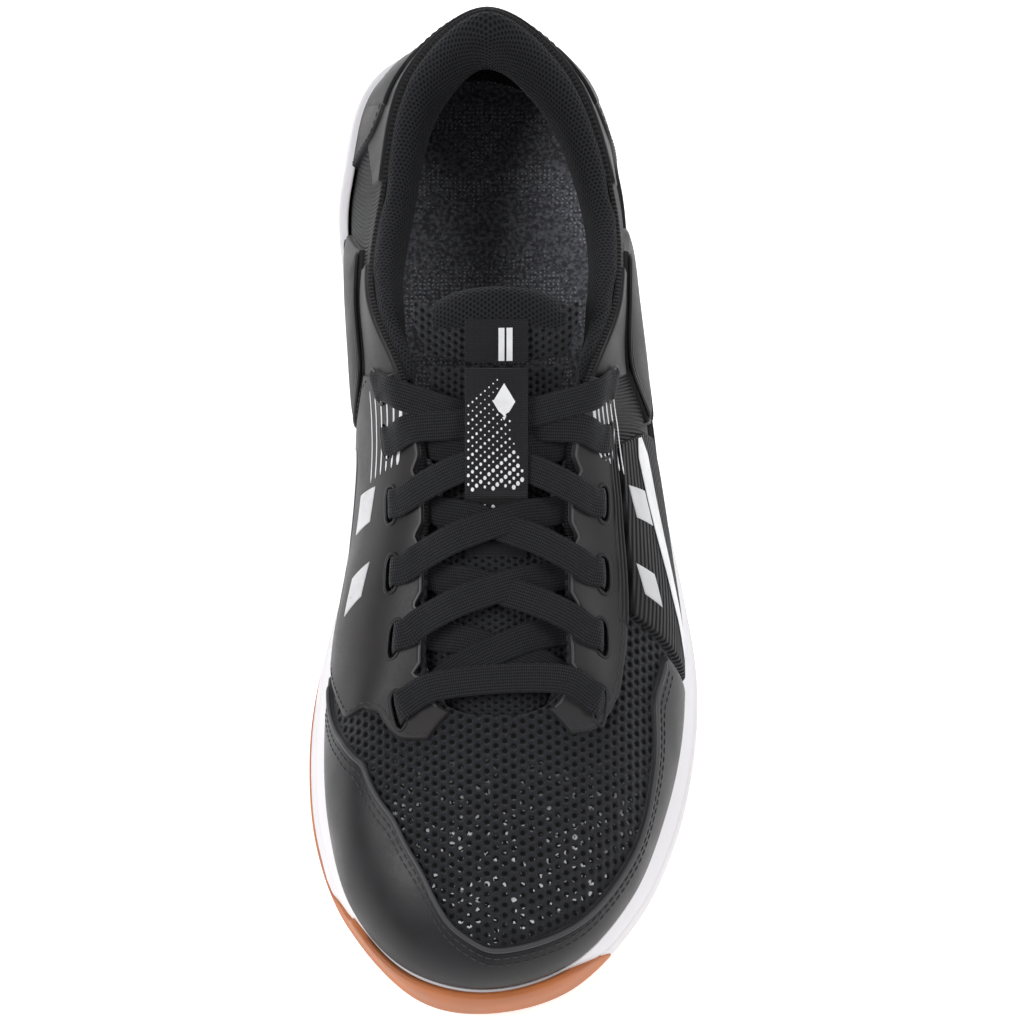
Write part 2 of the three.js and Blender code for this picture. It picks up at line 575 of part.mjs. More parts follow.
function slotTools() {
  return [...MEDIAL_SLOTS, ...LATERAL_SLOTS].map(([t, r]) => {
    const { along, out } = axes(t, r);
    const across = out.clone().cross(along);
    const tool = new THREE.BoxGeometry(SLOT_LENGTH, SLOT_WIDTH, 14);
    tool.applyMatrix4(new THREE.Matrix4().makeBasis(along, across, out));
    const centre = last(t, r);
    return tool.translate(centre.x, centre.y, centre.z);
  });
}
function ventTool(t, r) {
  const { along, rise, out } = axes(t, r);
  const tool = new THREE.CylinderGeometry(1.3, 1.3, 3.4, 12).rotateX(Math.PI / 2);
  tool.applyMatrix4(new THREE.Matrix4().makeBasis(rise, along, out));
  const centre = skin(t, r, OVERLAY.inner + OVERLAY_THICKNESS / 2);
  return tool.translate(centre.x, centre.y, centre.z);
}
function overlay(options) {
  return panel({ ...OVERLAY, rows: 5, ...options });
}
function buildToeOverlay() {
  return overlay({ from: -4.5, to: 4.7, steps: 38, rows: 4, low: constant(OVERLAY_FOOT), high: toeEdge });
}
function buildMedialEyestay() {
  const shape = { from: 1.4, to: 8, steps: 32, low: medialFoot, high: constant(OVERLAY_TOP) };
  return overlay(shape);
}
function buildLateralEyestay() {
  const low = mirrored(lateralSeam);
  return overlay({ from: -7.95, to: -1.6, steps: 28, rows: 2, low, high: constant(OVERLAY_TOP) });
}
function buildLateralQuarter() {
  const low = mirrored(profile([[4.6, OVERLAY_FOOT], [6.3, OVERLAY_FOOT], [7.2, 0.3]]));
  const high = (t) => Math.min(lateralSeam(-t) - PANEL_GAP, 0.35 + (7.2 + t) * 1.2);
  return overlay({ from: -7.15, to: -4.62, steps: 14, rows: 4, low, high });
}
function buildLeaf(side) {
  const edge = (f) => (side > 0 ? f : mirrored(f));
  const span = side > 0 ? { from: 7.3, to: 9.5 } : { from: -9.5, to: -7.3 };
  const leaf = overlay({ ...span, steps: 14, rows: 4, low: edge(leafFoot), high: edge(leafTop) });
  return cut(leaf, [ventTool(side * 8.25, 0.42)]);
}
function buildHeelOverlay() {
  const span = { from: 6.6, to: COUNT - 6.6 };
  return overlay({ ...span, steps: 54, rows: 4, low: constant(OVERLAY_FOOT), high: heelTop });
}
function buildTrim(side) {
  const leaning = (base) => (t) => base + 0.1 * (side * t - 5);
  const span = side > 0 ? { from: 5, to: 7 } : { from: -7, to: -5 };
  return panel({ ...TRIM, ...span, steps: 12, rows: 4, low: leaning(0.12), high: leaning(0.38) });
}

// ---- Tongue ------------------------------------------------------------------------------------
const TONGUE_CENTRE_X = -2.5 * scaleX;
const ridge = new THREE.CatmullRomCurve3(
  [
    [-86, 53], [-63, 64], [-37, 74.6], [-20, 81.6], [-2, 88.8], [16.5, 97.8], [36, 111.5],
  ].map(([y, z]) => new THREE.Vector3(0, y * scaleY, z * scaleZ)),
  false,
  "centripetal",
);
function ridgeAt(y) {
  let low = 0;
  let high = 1;
  for (let i = 0; i < 30; i++) {
    const middle = (low + high) / 2;
    if (ridge.getPoint(middle).y < y) low = middle;
    else high = middle;
  }
  const p = ridge.getPoint(low);
  const along = ridge.getTangent(low);
  return { z: p.z, out: new THREE.Vector3(0, -along.z, along.y) };
}
// Point on the tongue: across in mm from its centre, y along the shoe, offset out of its face.
function tonguePoint(across, y, offset, crown = TONGUE_CROWN) {
  const { z, out } = ridgeAt(y);
  const drop = crown * (across / TONGUE_HALF_WIDTH) ** 2;
  return new THREE.Vector3(TONGUE_CENTRE_X + across, y, z).addScaledVector(out, offset - drop);
}
// cutBack moves the first and the last edge in from y0 and y1 towards the sides of the panel.
function tonguePanel({ y0, y1, steps, half, thickness, lift, cutBack = [0, 0] }) {
  const outerGrid = [];
  const innerGrid = [];
  const across = 6;
  for (let i = 0; i <= steps; i++) {
    const y = y0 + ((y1 - y0) * i) / steps;
    const inwards = (i === 0 ? cutBack[0] : 0) - (i === steps ? cutBack[1] : 0);
    const outerRow = [];
    const innerRow = [];
    for (let j = across; j >= 0; j--) {
      const a = half(y) * ((2 * j) / across - 1);
      const at = y + inwards * (a / TONGUE_HALF_WIDTH) ** 2;
      const full = thickness(y) * (1 - 0.55 * Math.abs((2 * j) / across - 1) ** 3);
      outerRow.push(tonguePoint(a, at, lift(y)));
      innerRow.push(tonguePoint(a, at, lift(y) - full));
    }
    outerGrid.push(outerRow.reverse());
    innerGrid.push(innerRow.reverse());
  }
  return gridSolid(outerGrid, innerGrid);
}
const TONGUE_Y0 = -80 * scaleY;
const TONGUE_SPLIT = 0.4; // from the hinge line to the edge of each half
const TONGUE_CUT_BACK = 0.8; // and further at the sides, which curve down below the hinge line
function tongueHalf(y) {
  const spread = THREE.MathUtils.smoothstep(y, TONGUE_Y0, TONGUE_Y0 + 25);
  const narrow = THREE.MathUtils.smoothstep(y, -35, -15);
  const widen = THREE.MathUtils.smoothstep(y, -4, TONGUE_HINGE_Y);
  return TONGUE_HALF_WIDTH * (0.55 + 0.45 * spread - 0.33 * narrow + 0.2 * widen);
}
function buildTongueLower() {
  const y1 = TONGUE_HINGE_Y - TONGUE_SPLIT;
  const flat = constant(TONGUE_THICKNESS);
  const shape = { y0: TONGUE_Y0, y1, steps: 12, half: tongueHalf, thickness: flat, lift: constant(0) };
  return tonguePanel({ ...shape, cutBack: [0, TONGUE_CUT_BACK] });
}
function buildTongueTop() {
  const y0 = TONGUE_HINGE_Y + TONGUE_SPLIT;
  const swell = (y) => Math.sin(Math.PI * THREE.MathUtils.clamp((y - y0) / (TONGUE_TOP_Y - y0), 0, 1));
  const thickness = (y) => TONGUE_THICKNESS + (TONGUE_ROLL - TONGUE_THICKNESS) * swell(y);
  const half = (y) => {
    const flare = 0.1 * THREE.MathUtils.smoothstep(y, y0, y0 + 8);
    const corner = 0.3 * THREE.MathUtils.clamp((y - 28) / 8, 0, 1) ** 2;
    return TONGUE_HALF_WIDTH * (0.92 + flare - corner);
  };
  const shape = { y0, y1: TONGUE_TOP_Y, steps: 8, half, thickness };
  return tonguePanel({ ...shape, lift: (y) => 2 * swell(y), cutBack: [TONGUE_CUT_BACK, 0] });
}
const LABEL_END_Y = 31;
const LABEL_FOOT_Y = -34 * scaleY;
const KEEPER_ROOM = 5.2; // under the strap, besides the lace and the eyestays that lift it
const KEEPER_ARCH = KEEPER_ROOM + 2 * LACE_THICKNESS + OVERLAY_THICKNESS;
function buildLabel() {
  const y0 = TONGUE_HINGE_Y + TONGUE_SPLIT;
  const thin = constant(LABEL_THICKNESS);
  const lift = constant(2 + GAP + LABEL_THICKNESS + 0.2);
  const half = constant(LABEL_HALF_WIDTH);
  return tonguePanel({ y0, y1: LABEL_END_Y, steps: 5, half, thickness: thin, lift });
}
// The strap below the label: it arches over the lace and comes down to the tongue at its foot.
function buildKeeper() {
  const y1 = TONGUE_HINGE_Y - TONGUE_SPLIT;
  const lift = profile([
    [LABEL_FOOT_Y, 1.3], [-19.5 * scaleY, 1.3], [-17.3 * scaleY, KEEPER_ARCH], [y1, KEEPER_ARCH],
  ]);
  const thin = constant(LABEL_THICKNESS);
  const half = constant(LABEL_HALF_WIDTH);
  return tonguePanel({ y0: LABEL_FOOT_Y, y1, steps: 24, half, thickness: thin, lift });
}

// ---- Lace --------------------------------------------------------------------------------------
const LACE_OVER = OVERLAY.outer + LACE_LIFT + LACE_THICKNESS / 2;
const LACE_UNDER = BASE.inner - LACE_LIFT - LACE_THICKNESS / 2;
const LACE_STEPS_PER_POINT = 1.6;
const LACE_SLANT = 0.15; // stations from a slot to where its strand passes the throat edge
const LACE_PASS = (LACE_THICKNESS + GAP) / 2; // half the height between two strands that cross

// Route point beside a slot: inboard in mm towards the throat, out in mm from the last.
function slotPoint([t, r], inboard, out, slide = 0) {
  const perMillimetre = 0.02 / last(t, r + 0.01).distanceTo(last(t, r - 0.01));
  const there = r + inboard * perMillimetre;
  const { along, rise, out: normal } = axes(t, there);
  const past = Math.max(there - 1, 0) / perMillimetre;
  const p = last(t, Math.min(there, 1)).addScaledVector(rise, past).addScaledVector(normal, out);
  return { p: p.addScaledVector(along, slide), w: along.clone().multiplyScalar(Math.sign(t)) };
}
function throatPoint(t, out, inboard) {
  return slotPoint([t, OVERLAY_TOP], inboard, out);
}
// Down through a slot from above, or up through it when reversed.
function throughSlot(slot) {
  return [
    slotPoint(slot, 5, LACE_OVER),
    slotPoint(slot, 1.6, LACE_OVER - 0.1),
    slotPoint(slot, 0, 1.4),
    slotPoint(slot, 0, -1.2),
    slotPoint(slot, 1.6, LACE_UNDER - 0.1),
    slotPoint(slot, 5, LACE_UNDER),
  ];
}
// Place where a strand passes the throat edge beside a slot: over it, or under it.
function edgePoint([t], over, towards) {
  const beside = t + Math.sign(t) * LACE_SLANT * towards;
  return over ? throatPoint(beside, LACE_OVER, 0) : throatPoint(beside, LACE_UNDER - 0.4, 3);
}
// Strand across the throat from one slot to a slot nearer the ankle on the other side. A late rise
// keeps it level until it is past the middle.
function crossing(from, overFrom, to, overTo, pass) {
  const a = edgePoint(from, overFrom, 1);
  const b = edgePoint(to, overTo, -1);
  const [lateness, rises] = overTo ? [LACE_LATE_RISE, LACE_LAST_CROWN] : [1, LACE_CROWN];
  const crown = rises + LACE_THICKNESS;
  const mid = (share, height) => {
    const rise = share ** lateness;
    const p = a.p.clone().lerp(b.p, rise);
    p.x = THREE.MathUtils.lerp(a.p.x, b.p.x, share);
    p.z += crown * (1 - Math.abs(2 * share - 1) ** 3) + height;
    return { p, w: a.w.clone().lerp(b.w, share) };
  };
  return [a, mid(0.25, pass * 0.7), mid(0.5, pass), mid(0.75, pass * 0.7), b];
}
// From the bar down through the first slot, then criss-cross: up through each slot, over the edge,
// across, and under the other edge, to the last slot, which the lace goes down through.
function laceHalf(side) {
  const own = side > 0 ? MEDIAL_SLOTS : LATERAL_SLOTS;
  const other = side > 0 ? LATERAL_SLOTS : MEDIAL_SLOTS;
  const route = throughSlot(own[0]);
  const last = own.length - 1;
  for (let row = 0; row < last; row++) {
    const from = row % 2 ? other[row] : own[row];
    const to = row % 2 ? own[row + 1] : other[row + 1];
    const pass = (row + (side > 0 ? 1 : 0)) % 2 ? LACE_PASS : -LACE_PASS;
    route.push(...crossing(from, row > 0, to, row + 1 === last, pass));
    if (row + 1 === last) route.push(...throughSlot(to).slice(0, 4));
    else route.push(...throughSlot(to).reverse());
  }
  return { route, end: last % 2 ? other[last] : own[last] };
}
// The loose end, turned along the shoe and tucked in under the eyestay.
function laceTail([t, r]) {
  const side = Math.sign(t);
  const point = (slide, out, inboard, turn) => {
    const here = slotPoint([t, r], inboard, out, -side * slide);
    const { rise, along } = axes(t, r);
    here.w = along.multiplyScalar(side * (1 - turn)).addScaledVector(rise, turn);
    return here;
  };
  return [point(0, -3.5, 0, 0.3), point(2, -7, 0, 0.8), point(7, -9, 0, 1), point(12, -9.8, 0, 1)];
}
function ribbonFrames(route, samples) {
  const places = new THREE.CatmullRomCurve3(route.map((q) => q.p), false, "centripetal");
  const widths = new THREE.CatmullRomCurve3(route.map((q) => q.w), false, "centripetal");
  return Array.from({ length: samples + 1 }, (_, i) => {
    const u = i / samples;
    const tangent = places.getTangent(u);
    const side = widths.getPoint(u);
    side.addScaledVector(tangent, -side.dot(tangent)).normalize();
    return { p: places.getPoint(u), side, face: side.clone().cross(tangent) };
  });
}
function ribbon(route, samples, width, thickness) {
  const sections = ribbonFrames(route, samples).map(({ p, side, face }) =>
    [[1, 1], [1, -1], [-1, -1], [-1, 1]].map(([a, b]) =>
      p.clone().addScaledVector(side, (a * width) / 2).addScaledVector(face, (b * thickness) / 2),
    ),
  );
  return sweepSections(sections);
}
function buildLace() {
  const medial = laceHalf(1);
  const lateral = laceHalf(-1);
  const bar = [slotPoint(MEDIAL_SLOTS[0], 12, LACE_OVER + 1), slotPoint(LATERAL_SLOTS[0], 12, LACE_OVER + 1)];
  const flip = ({ p, w }) => ({ p, w: w.clone().negate() });
  const first = [...medial.route, ...laceTail(medial.end)].reverse();
  const second = [...lateral.route, ...laceTail(lateral.end)];
  const route = [...first, bar[0], bar[1], ...second];
  return ribbon(alignWidths(route, flip), Math.round(route.length * LACE_STEPS_PER_POINT), LACE_WIDTH, LACE_THICKNESS);
}
// Turns each width to the same side as the one before it, so that the ribbon never flips.
function alignWidths(route, flip) {
  const aligned = [route[0]];
  for (const q of route.slice(1)) {
    const before = aligned[aligned.length - 1];
    aligned.push(before.w.dot(q.w) < 0 ? flip(q) : q);
  }
  return aligned;
}
function buildAglet(side) {
  const { end } = laceHalf(side);
  const tail = laceTail(end);
  const [a, b] = tail.slice(-2);
  const along = b.p.clone().sub(a.p).normalize();
  const start = b.p.clone().addScaledVector(along, AGLET_GAP);
  const finish = start.clone().addScaledVector(along, AGLET_LENGTH);
  const route = [{ p: start, w: b.w }, { p: finish, w: b.w }];
  return ribbon(route, 2, 3.2, 2.6);
}

// ---- Materials and assembly --------------------------------------------------------------------
const finish = (color, roughness) => new THREE.MeshStandardMaterial({ color, roughness, metalness: 0 });
const LOOKS = {
  gum: finish(0xbe6e46, 0.6),
  foam: finish(0xebe6ec, 0.55),
  mesh: finish(0x17181c, 0.95),
  smooth: finish(0x232327, 0.5),
  knit: finish(0x1b1c20, 0.95),
  white: finish(0xe6e6ea, 0.4),
  board: finish(0xc9c2b4, 0.9),
  stiff: finish(0x8d8a84, 0.7),
  insole: finish(0x25262b, 0.95),
  lace: finish(0x111114, 0.9),
  plastic: finish(0x1a1a1c, 0.35),
  gel: finish(0x7fa0b8, 0.3),
};
const shoe = new THREE.Group();
function add(name, geometry, look) {
  const mesh = new THREE.Mesh(geometry, look);
  mesh.name = name;
  shoe.add(mesh);
}

const sole = buildSole();
add("outsole_forefoot", sole.toe, LOOKS.gum);
add("outsole_heel", sole.heel, LOOKS.gum);
add("midfoot_shank", sole.shank, LOOKS.plastic);
add("midsole", sole.midsole, LOOKS.foam);
add("heel_cushion_pad", sole.cushion, LOOKS.gel);
add("lasting_board", buildBoard(), LOOKS.board);
add("insole", buildInsole(), LOOKS.insole);

const slots = slotTools();
add("vamp_mesh", cut(basePanel(-VAMP_SEAM, VAMP_SEAM, 34), slots), LOOKS.mesh);
add("medial_quarter_textile", cut(basePanel(VAMP_SEAM + SEAM_GAP, HEEL - SEAM_GAP, 24), slots), LOOKS.knit);
const lateralQuarter = basePanel(HEEL + SEAM_GAP, COUNT - VAMP_SEAM - SEAM_GAP, 24);
add("lateral_quarter_textile", cut(lateralQuarter, slots), LOOKS.knit);
add("toe_puff", buildPuff(), LOOKS.stiff);
add("heel_counter", buildCounter(), LOOKS.stiff);
add("heel_lining", buildLining(), LOOKS.knit);
add("collar_padding", buildCollarPad(), LOOKS.knit);

add("toe_overlay", buildToeOverlay(), LOOKS.smooth);
add("medial_eyestay", cut(buildMedialEyestay(), slots), LOOKS.smooth);
add("lateral_eyestay", cut(buildLateralEyestay(), slots), LOOKS.smooth);
add("lateral_quarter_panel", buildLateralQuarter(), LOOKS.smooth);
add("medial_leaf_panel", buildLeaf(1), LOOKS.smooth);
add("lateral_leaf_panel", buildLeaf(-1), LOOKS.smooth);
add("heel_overlay", buildHeelOverlay(), LOOKS.smooth);
add("medial_side_trim", buildTrim(1), LOOKS.white);
add("lateral_side_trim", buildTrim(-1), LOOKS.white);

add("tongue_lower", buildTongueLower(), LOOKS.mesh);
add("tongue_top", buildTongueTop(), LOOKS.knit);
add("tongue_label", buildLabel(), LOOKS.smooth);
add("lace_keeper", buildKeeper(), LOOKS.smooth);
add("lace", buildLace(), LOOKS.lace);
add("lateral_aglet", buildAglet(1), LOOKS.plastic);
add("medial_aglet", buildAglet(-1), LOOKS.plastic);

export default shoe;
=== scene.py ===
"""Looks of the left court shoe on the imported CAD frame: fabrics, stitching, padding, sole, camera, light."""

import math

import bmesh
import bpy
import numpy as np
from mathutils import Matrix, Vector
from mathutils.kdtree import KDTree


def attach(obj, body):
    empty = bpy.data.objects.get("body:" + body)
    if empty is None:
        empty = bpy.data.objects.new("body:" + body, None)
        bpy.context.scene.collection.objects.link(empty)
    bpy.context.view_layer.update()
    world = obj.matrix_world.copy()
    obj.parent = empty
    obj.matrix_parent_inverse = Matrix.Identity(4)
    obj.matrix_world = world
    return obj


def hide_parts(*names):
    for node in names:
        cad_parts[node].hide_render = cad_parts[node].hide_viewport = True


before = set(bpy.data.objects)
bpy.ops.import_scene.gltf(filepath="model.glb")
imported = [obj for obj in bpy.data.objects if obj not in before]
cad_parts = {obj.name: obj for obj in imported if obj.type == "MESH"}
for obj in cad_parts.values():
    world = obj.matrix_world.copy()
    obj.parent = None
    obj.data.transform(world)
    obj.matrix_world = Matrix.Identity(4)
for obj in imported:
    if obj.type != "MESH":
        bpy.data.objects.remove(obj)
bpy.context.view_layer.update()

MM = 0.001  # sizes below are in millimetres; meshes are made in metres
BODY = "shoe"
FLAP = "tongue_flap"

# ---- The last, as the CAD has it -------------------------------------------------------------------
# Stations run toe, medial side, heel, lateral side: bite line point, topline point, how the section
# leaves the first (rise, flare) and how it meets the second (inset, dip).
STATIONS = [
    ((-5, -146.2, 25.5), (-2.5, -77, 62), (24, 1), (35, 8)),
    ((-27, -140.2, 25), (-11, -76.5, 61.5), (23, 1.5), (31, 8)),
    ((-42, -122, 24), (-19, -72, 61.5), (22, 2), (26, 6)),
    ((-48.5, -98, 23.5), (-22.5, -63, 64), (21, 2), (20, 4)),
    ((-50, -72, 24), (-22.5, -52, 68), (20, 2), (16, 2.5)),
    ((-47.5, -45, 25), (-22.5, -37, 74.5), (22, 3), (15, 3)),
    ((-42, -18, 26), (-22.5, -20, 81.5), (24, 5), (14, 5)),
    ((-38.5, 12, 27.5), (-24, -2, 88.5), (26, 8), (13, 8)),
    ((-39, 42, 29), (-30, 16, 94.5), (26, 8), (10, 12)),
    ((-42.5, 72, 30.5), (-39, 45, 87), (22, 4), (3, 16)),
    ((-44, 101, 31.5), (-36, 80, 79.5), (18, 2.5), (4, 15)),
    ((-36, 130, 32.5), (-28.5, 115, 86), (20, 3), (4, 16)),
    ((-8, 144.5, 33), (-5, 131, 97), (25, 2), (4, 22)),
    ((20, 132, 32.5), (20, 115, 86), (20, 3), (4, 16)),
    ((31, 104, 31.5), (32, 80, 78), (18, 2.5), (2, 15)),
    ((34, 74, 30.5), (33, 45, 85.5), (22, 4), (2, 16)),
    ((37.5, 44, 29), (24.5, 16, 93.5), (24, 6), (9, 12)),
    ((42, 14, 27.5), (19, -2, 88), (24, 5), (13, 8)),
    ((46.5, -15, 26), (17.5, -20, 81.5), (23, 4), (14, 5)),
    ((50, -42, 25), (17.5, -37, 74.5), (22, 3), (15, 3)),
    ((49.5, -69, 24), (17.5, -52, 68), (20, 2), (16, 2.5)),
    ((44, -95, 23.5), (17.5, -63, 64), (21, 2), (20, 4)),
    ((34.5, -119, 24), (14, -72, 61.5), (22, 2), (26, 6)),
    ((18, -138.5, 25), (6, -76.5, 61.5), (23, 1.5), (31, 8)),
]
SOLE_LINE = [
    (-5, -150, 12), (-26, -144.6, 12), (-45, -121, 10), (-54, -95, 8), (-56.3, -68, 7), (-53.8, -42, 7),
    (-47.5, -16, 8), (-42, 12, 9), (-42, 42, 10), (-46, 72, 10), (-47.5, 100, 10), (-38.5, 134, 11),
    (-8, 150, 11), (22.5, 134, 11), (34.5, 104, 10), (37.5, 74, 10), (41.5, 42, 10), (47, 12, 9),
    (52.5, -16, 8), (56.3, -42, 7), (55.5, -66, 7), (50, -93, 8), (38.5, -119, 10), (19, -142, 12),
]
COUNT = len(STATIONS)
HEEL = COUNT // 2
BITE, TOP, LEAVE, MEET = (np.array([s[k] for s in STATIONS], float) for k in range(4))
SOLE = np.array(SOLE_LINE, float)
UP = np.array([0, 0, 1.0])


def around(table, t):
    """Value of a closed row of control points at place t, a uniform Catmull-Rom spline."""
    n = len(table)
    t = np.asarray(t, float) % n
    i = np.floor(t).astype(int)
    f = (t - i)[..., None]
    a, b, c, d = (table[(i + k) % n] for k in (-1, 0, 1, 2))
    return b + 0.5 * f * (c - a + f * (2 * a - 5 * b + 4 * c - d + f * (3 * (b - c) + d - a)))


def unit(v):
    return v / np.maximum(np.linalg.norm(v, axis=-1, keepdims=True), 1e-9)


def outward(table, t):
    """Level direction out of the shoe, square to a closed row of points."""
    along = around(table, np.asarray(t) + 0.05) - around(table, np.asarray(t) - 0.05)
    return unit(np.stack([-along[..., 1], along[..., 0], 0 * along[..., 0]], -1))


MARGIN = 8.0  # depth of the lasting margin under the bite line


def last(t, r):
    """Point on the last in mm: r 0 at the bite line, 1 at the topline, negative down inside the rim."""
    t, r = np.broadcast_arrays(np.asarray(t, float), np.asarray(r, float))
    bite, top = around(BITE, t), around(TOP, t)
    leave, meet = around(LEAVE, t), around(MEET, t)
    out = outward(BITE, t)
    low = bite + UP * leave[..., :1] + out * leave[..., 1:]
    high = top + out * meet[..., :1] - UP * meet[..., 1:]
    s = np.maximum(r, 0)[..., None]
    q = 1 - s
    p = q**3 * bite + 3 * q * q * s * low + 3 * q * s * s * high + s**3 * top
    return p + UP * np.minimum(r, 0)[..., None] * 10 * MARGIN


def axes(t, r):
    r = np.minimum(r, 0.985)
    along = unit(last(np.asarray(t) + 0.04, r) - last(np.asarray(t) - 0.04, r))
    rise = unit(last(t, r + 0.015) - last(t, r - 0.015))
    return along, rise, unit(np.cross(rise, along))


def skin(t, r, offset=0.0):
    offset = np.asarray(offset, float)
    return last(t, r) + axes(t, r)[2] * offset[..., None]


def edge(pairs, soft=0.12):
    """Smoothed curve through (station, height) pairs."""
    x, y = np.array(pairs, float).T
    window = np.linspace(-soft, soft, 9)

    def height(t):
        t = np.asarray(t, float)
        return np.mean([np.interp(t + d, x, y) for d in window], axis=0)

    return height


def flat(value):
    return lambda t: np.full(np.shape(t), float(value))


def flipped(curve):
    return lambda t: curve(-np.asarray(t, float))


def smoothstep(x, a, b):
    s = np.clip((x - a) / (b - a), 0, 1)
    return s * s * (3 - 2 * s)


def hermite(s, h, a, slope_a, b, slope_b):
    """Cubic from a to b over a step h, at share s of the way."""
    return (
        (2 * s**3 - 3 * s**2 + 1) * a + (s**3 - 2 * s**2 + s) * h * slope_a
        + (3 * s**2 - 2 * s**3) * b + (s**3 - s**2) * h * slope_b
    )


def squared(v, power):
    """Sine or cosine v bent so that a circle becomes a rounded slot."""
    return math.copysign(abs(v) ** power, v)


def knit_relief(x, y, pitch):
    """Sum of three ripples: high at the points of a hexagonal grid, where an open knit has its holes."""
    k = 2 * math.pi / pitch
    turns = [math.radians(angle) for angle in (0, 120, 240)]
    return sum(np.cos(k * (x * math.cos(a) + y * math.sin(a))) for a in turns)


# ---- Meshes ----------------------------------------------------------------------------------------
def lay_flat(mesh, places):
    """Stores each point's place on the flat material, in mm."""
    values = np.zeros((len(mesh.vertices), 3), np.float32)
    places = np.asarray(places, float).reshape(len(mesh.vertices), -1)
    values[:, : places.shape[1]] = places
    cloth = mesh.attributes.get("cloth") or mesh.attributes.new("cloth", "FLOAT_VECTOR", "POINT")
    cloth.data.foreach_set("vector", values.ravel())


def make(name, points, faces, material, cloth=None, smooth=True, body=BODY):
    """A mesh object from points in mm. cloth holds each point's place on the flat material, in mm."""
    mesh = bpy.data.meshes.new(name)
    mesh.from_pydata((np.asarray(points, float).reshape(-1, 3) * MM).tolist(), [], faces)
    mesh.validate()
    mesh.update()
    if cloth is not None:
        lay_flat(mesh, cloth)
    if smooth:
        mesh.polygons.foreach_set("use_smooth", [True] * len(mesh.polygons))
    obj = bpy.data.objects.new(name, mesh)
    bpy.context.scene.collection.objects.link(obj)
    mesh.materials.append(material)
    if body:
        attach(obj, body)
    return obj


def grid_faces(rows, columns, offset=0, flip=False):
    faces = []
    for i in range(rows - 1):
        for j in range(columns - 1):
            a = offset + i * columns + j
            b = a + columns
            quad = (a, b, b + 1, a + 1)
            faces.append(quad if flip else quad[::-1])
    return faces


def shell_faces(rows, columns):
    """Faces of a closed plate: an outer grid, an inner grid of the same size, and the four sides."""
    n = rows * columns
    faces = grid_faces(rows, columns) + grid_faces(rows, columns, n, flip=True)
    loop = list(range(columns))
    loop += [i * columns + columns - 1 for i in range(1, rows)]
    loop += [(rows - 1) * columns + j for j in range(columns - 2, -1, -1)]
    loop += [i * columns for i in range(rows - 2, 0, -1)]
    for a, b in zip(loop, loop[1:] + loop[:1]):
        faces.append((a, b, b + n, a + n))
    return faces


def tube_faces(start, rows, ring, turned=False, caps=True):
    """Faces between rings of equal length, with a cap at each end; turned makes them face the other way."""
    faces = []
    for i in range(rows - 1):
        for j in range(ring):
            a, b = start + i * ring + j, start + i * ring + (j + 1) % ring
            faces.append((a, a + ring, b + ring, b) if turned else (a, b, b + ring, a + ring))
    if caps:
        first = tuple(range(start, start + ring))
        final = tuple(range(start + (rows - 1) * ring, start + rows * ring))
        faces += [first, final[::-1]] if turned else [first[::-1], final]
    return faces


CLOTH_RISE = 60  # mm of fabric from the bite line to the topline
LINE_WINDOW = 19  # points that a given line is evened out over
LINE_STEP = 1.2  # mm between the sections of a strip or cord


def spaced(length, cell, rim):
    """Places 0 to 1 along a side, close together within rim of each end, cell apart between."""
    count = max(int(round(length / cell)), 3)
    e = min(rim / max(length, 1e-6), 0.3)
    near = np.array([0, 0.12, 0.35, 0.65, 1.0]) * e
    middle = np.linspace(e, 1 - e, count + 1)[1:-1]
    return np.concatenate([near, middle, 1 - near[::-1]])


def panel(name, span, low, high, material, base=0.0, height=1.2, rim=0.9, cell=2.0, puff=0.0, relief=None,
          inner=-0.35):
    """A sheet that lies on the last between two stations, its border rounded down to the layer below."""
    t0, t1 = span
    mid = (t0 + t1) / 2
    wide = np.linalg.norm(np.diff(last(np.linspace(t0, t1, 60), 0.35), axis=0), axis=1).sum()
    tall = np.linalg.norm(np.diff(last(mid, np.linspace(low(mid), high(mid), 20)), axis=0), axis=1).sum()
    a = spaced(wide, cell, rim)
    b = spaced(max(tall, 6), cell, rim)
    t = t0 + (t1 - t0) * a
    lo, hi = low(t), high(t)
    r = lo[:, None] + (hi - lo)[:, None] * b[None, :]
    tt = np.broadcast_to(t[:, None], r.shape)
    place = last(tt, r)
    u = np.concatenate([[0], np.cumsum(np.linalg.norm(np.diff(last(t, 0.35), axis=0), axis=1))])
    v = np.concatenate(
        [np.zeros((len(t), 1)), np.cumsum(np.linalg.norm(np.diff(place, axis=1), axis=-1), axis=1)], axis=1
    )
    v = v + lo[:, None] * CLOTH_RISE
    width = np.minimum(a, 1 - a)[:, None] * wide
    depth = np.minimum(b, 1 - b)[None, :] * np.maximum(v[:, -1:] - v[:, :1], 1)
    inset = np.minimum(np.broadcast_to(width, r.shape), depth)
    shoulder = np.clip(inset / rim, 0, 1)
    rounded = np.sqrt(np.clip(1 - (1 - shoulder) ** 2, 0, 1))
    swell = puff * (1 - np.exp(-np.maximum(inset - rim, 0) / 5))
    offset = base + inner * (1 - rounded) + (height + swell) * rounded
    cloth = np.stack([np.broadcast_to(u[:, None], r.shape), v], -1)
    if relief is not None:
        offset = offset + relief(place) * shoulder
    outer = skin(tt, r, offset)
    under = skin(tt, r, np.full(r.shape, base + inner - 0.15))
    points = np.concatenate([outer.reshape(-1, 3), under.reshape(-1, 3)])
    places = np.concatenate([cloth.reshape(-1, 2)] * 2)
    return make(name, points, shell_faces(*r.shape), material, places)


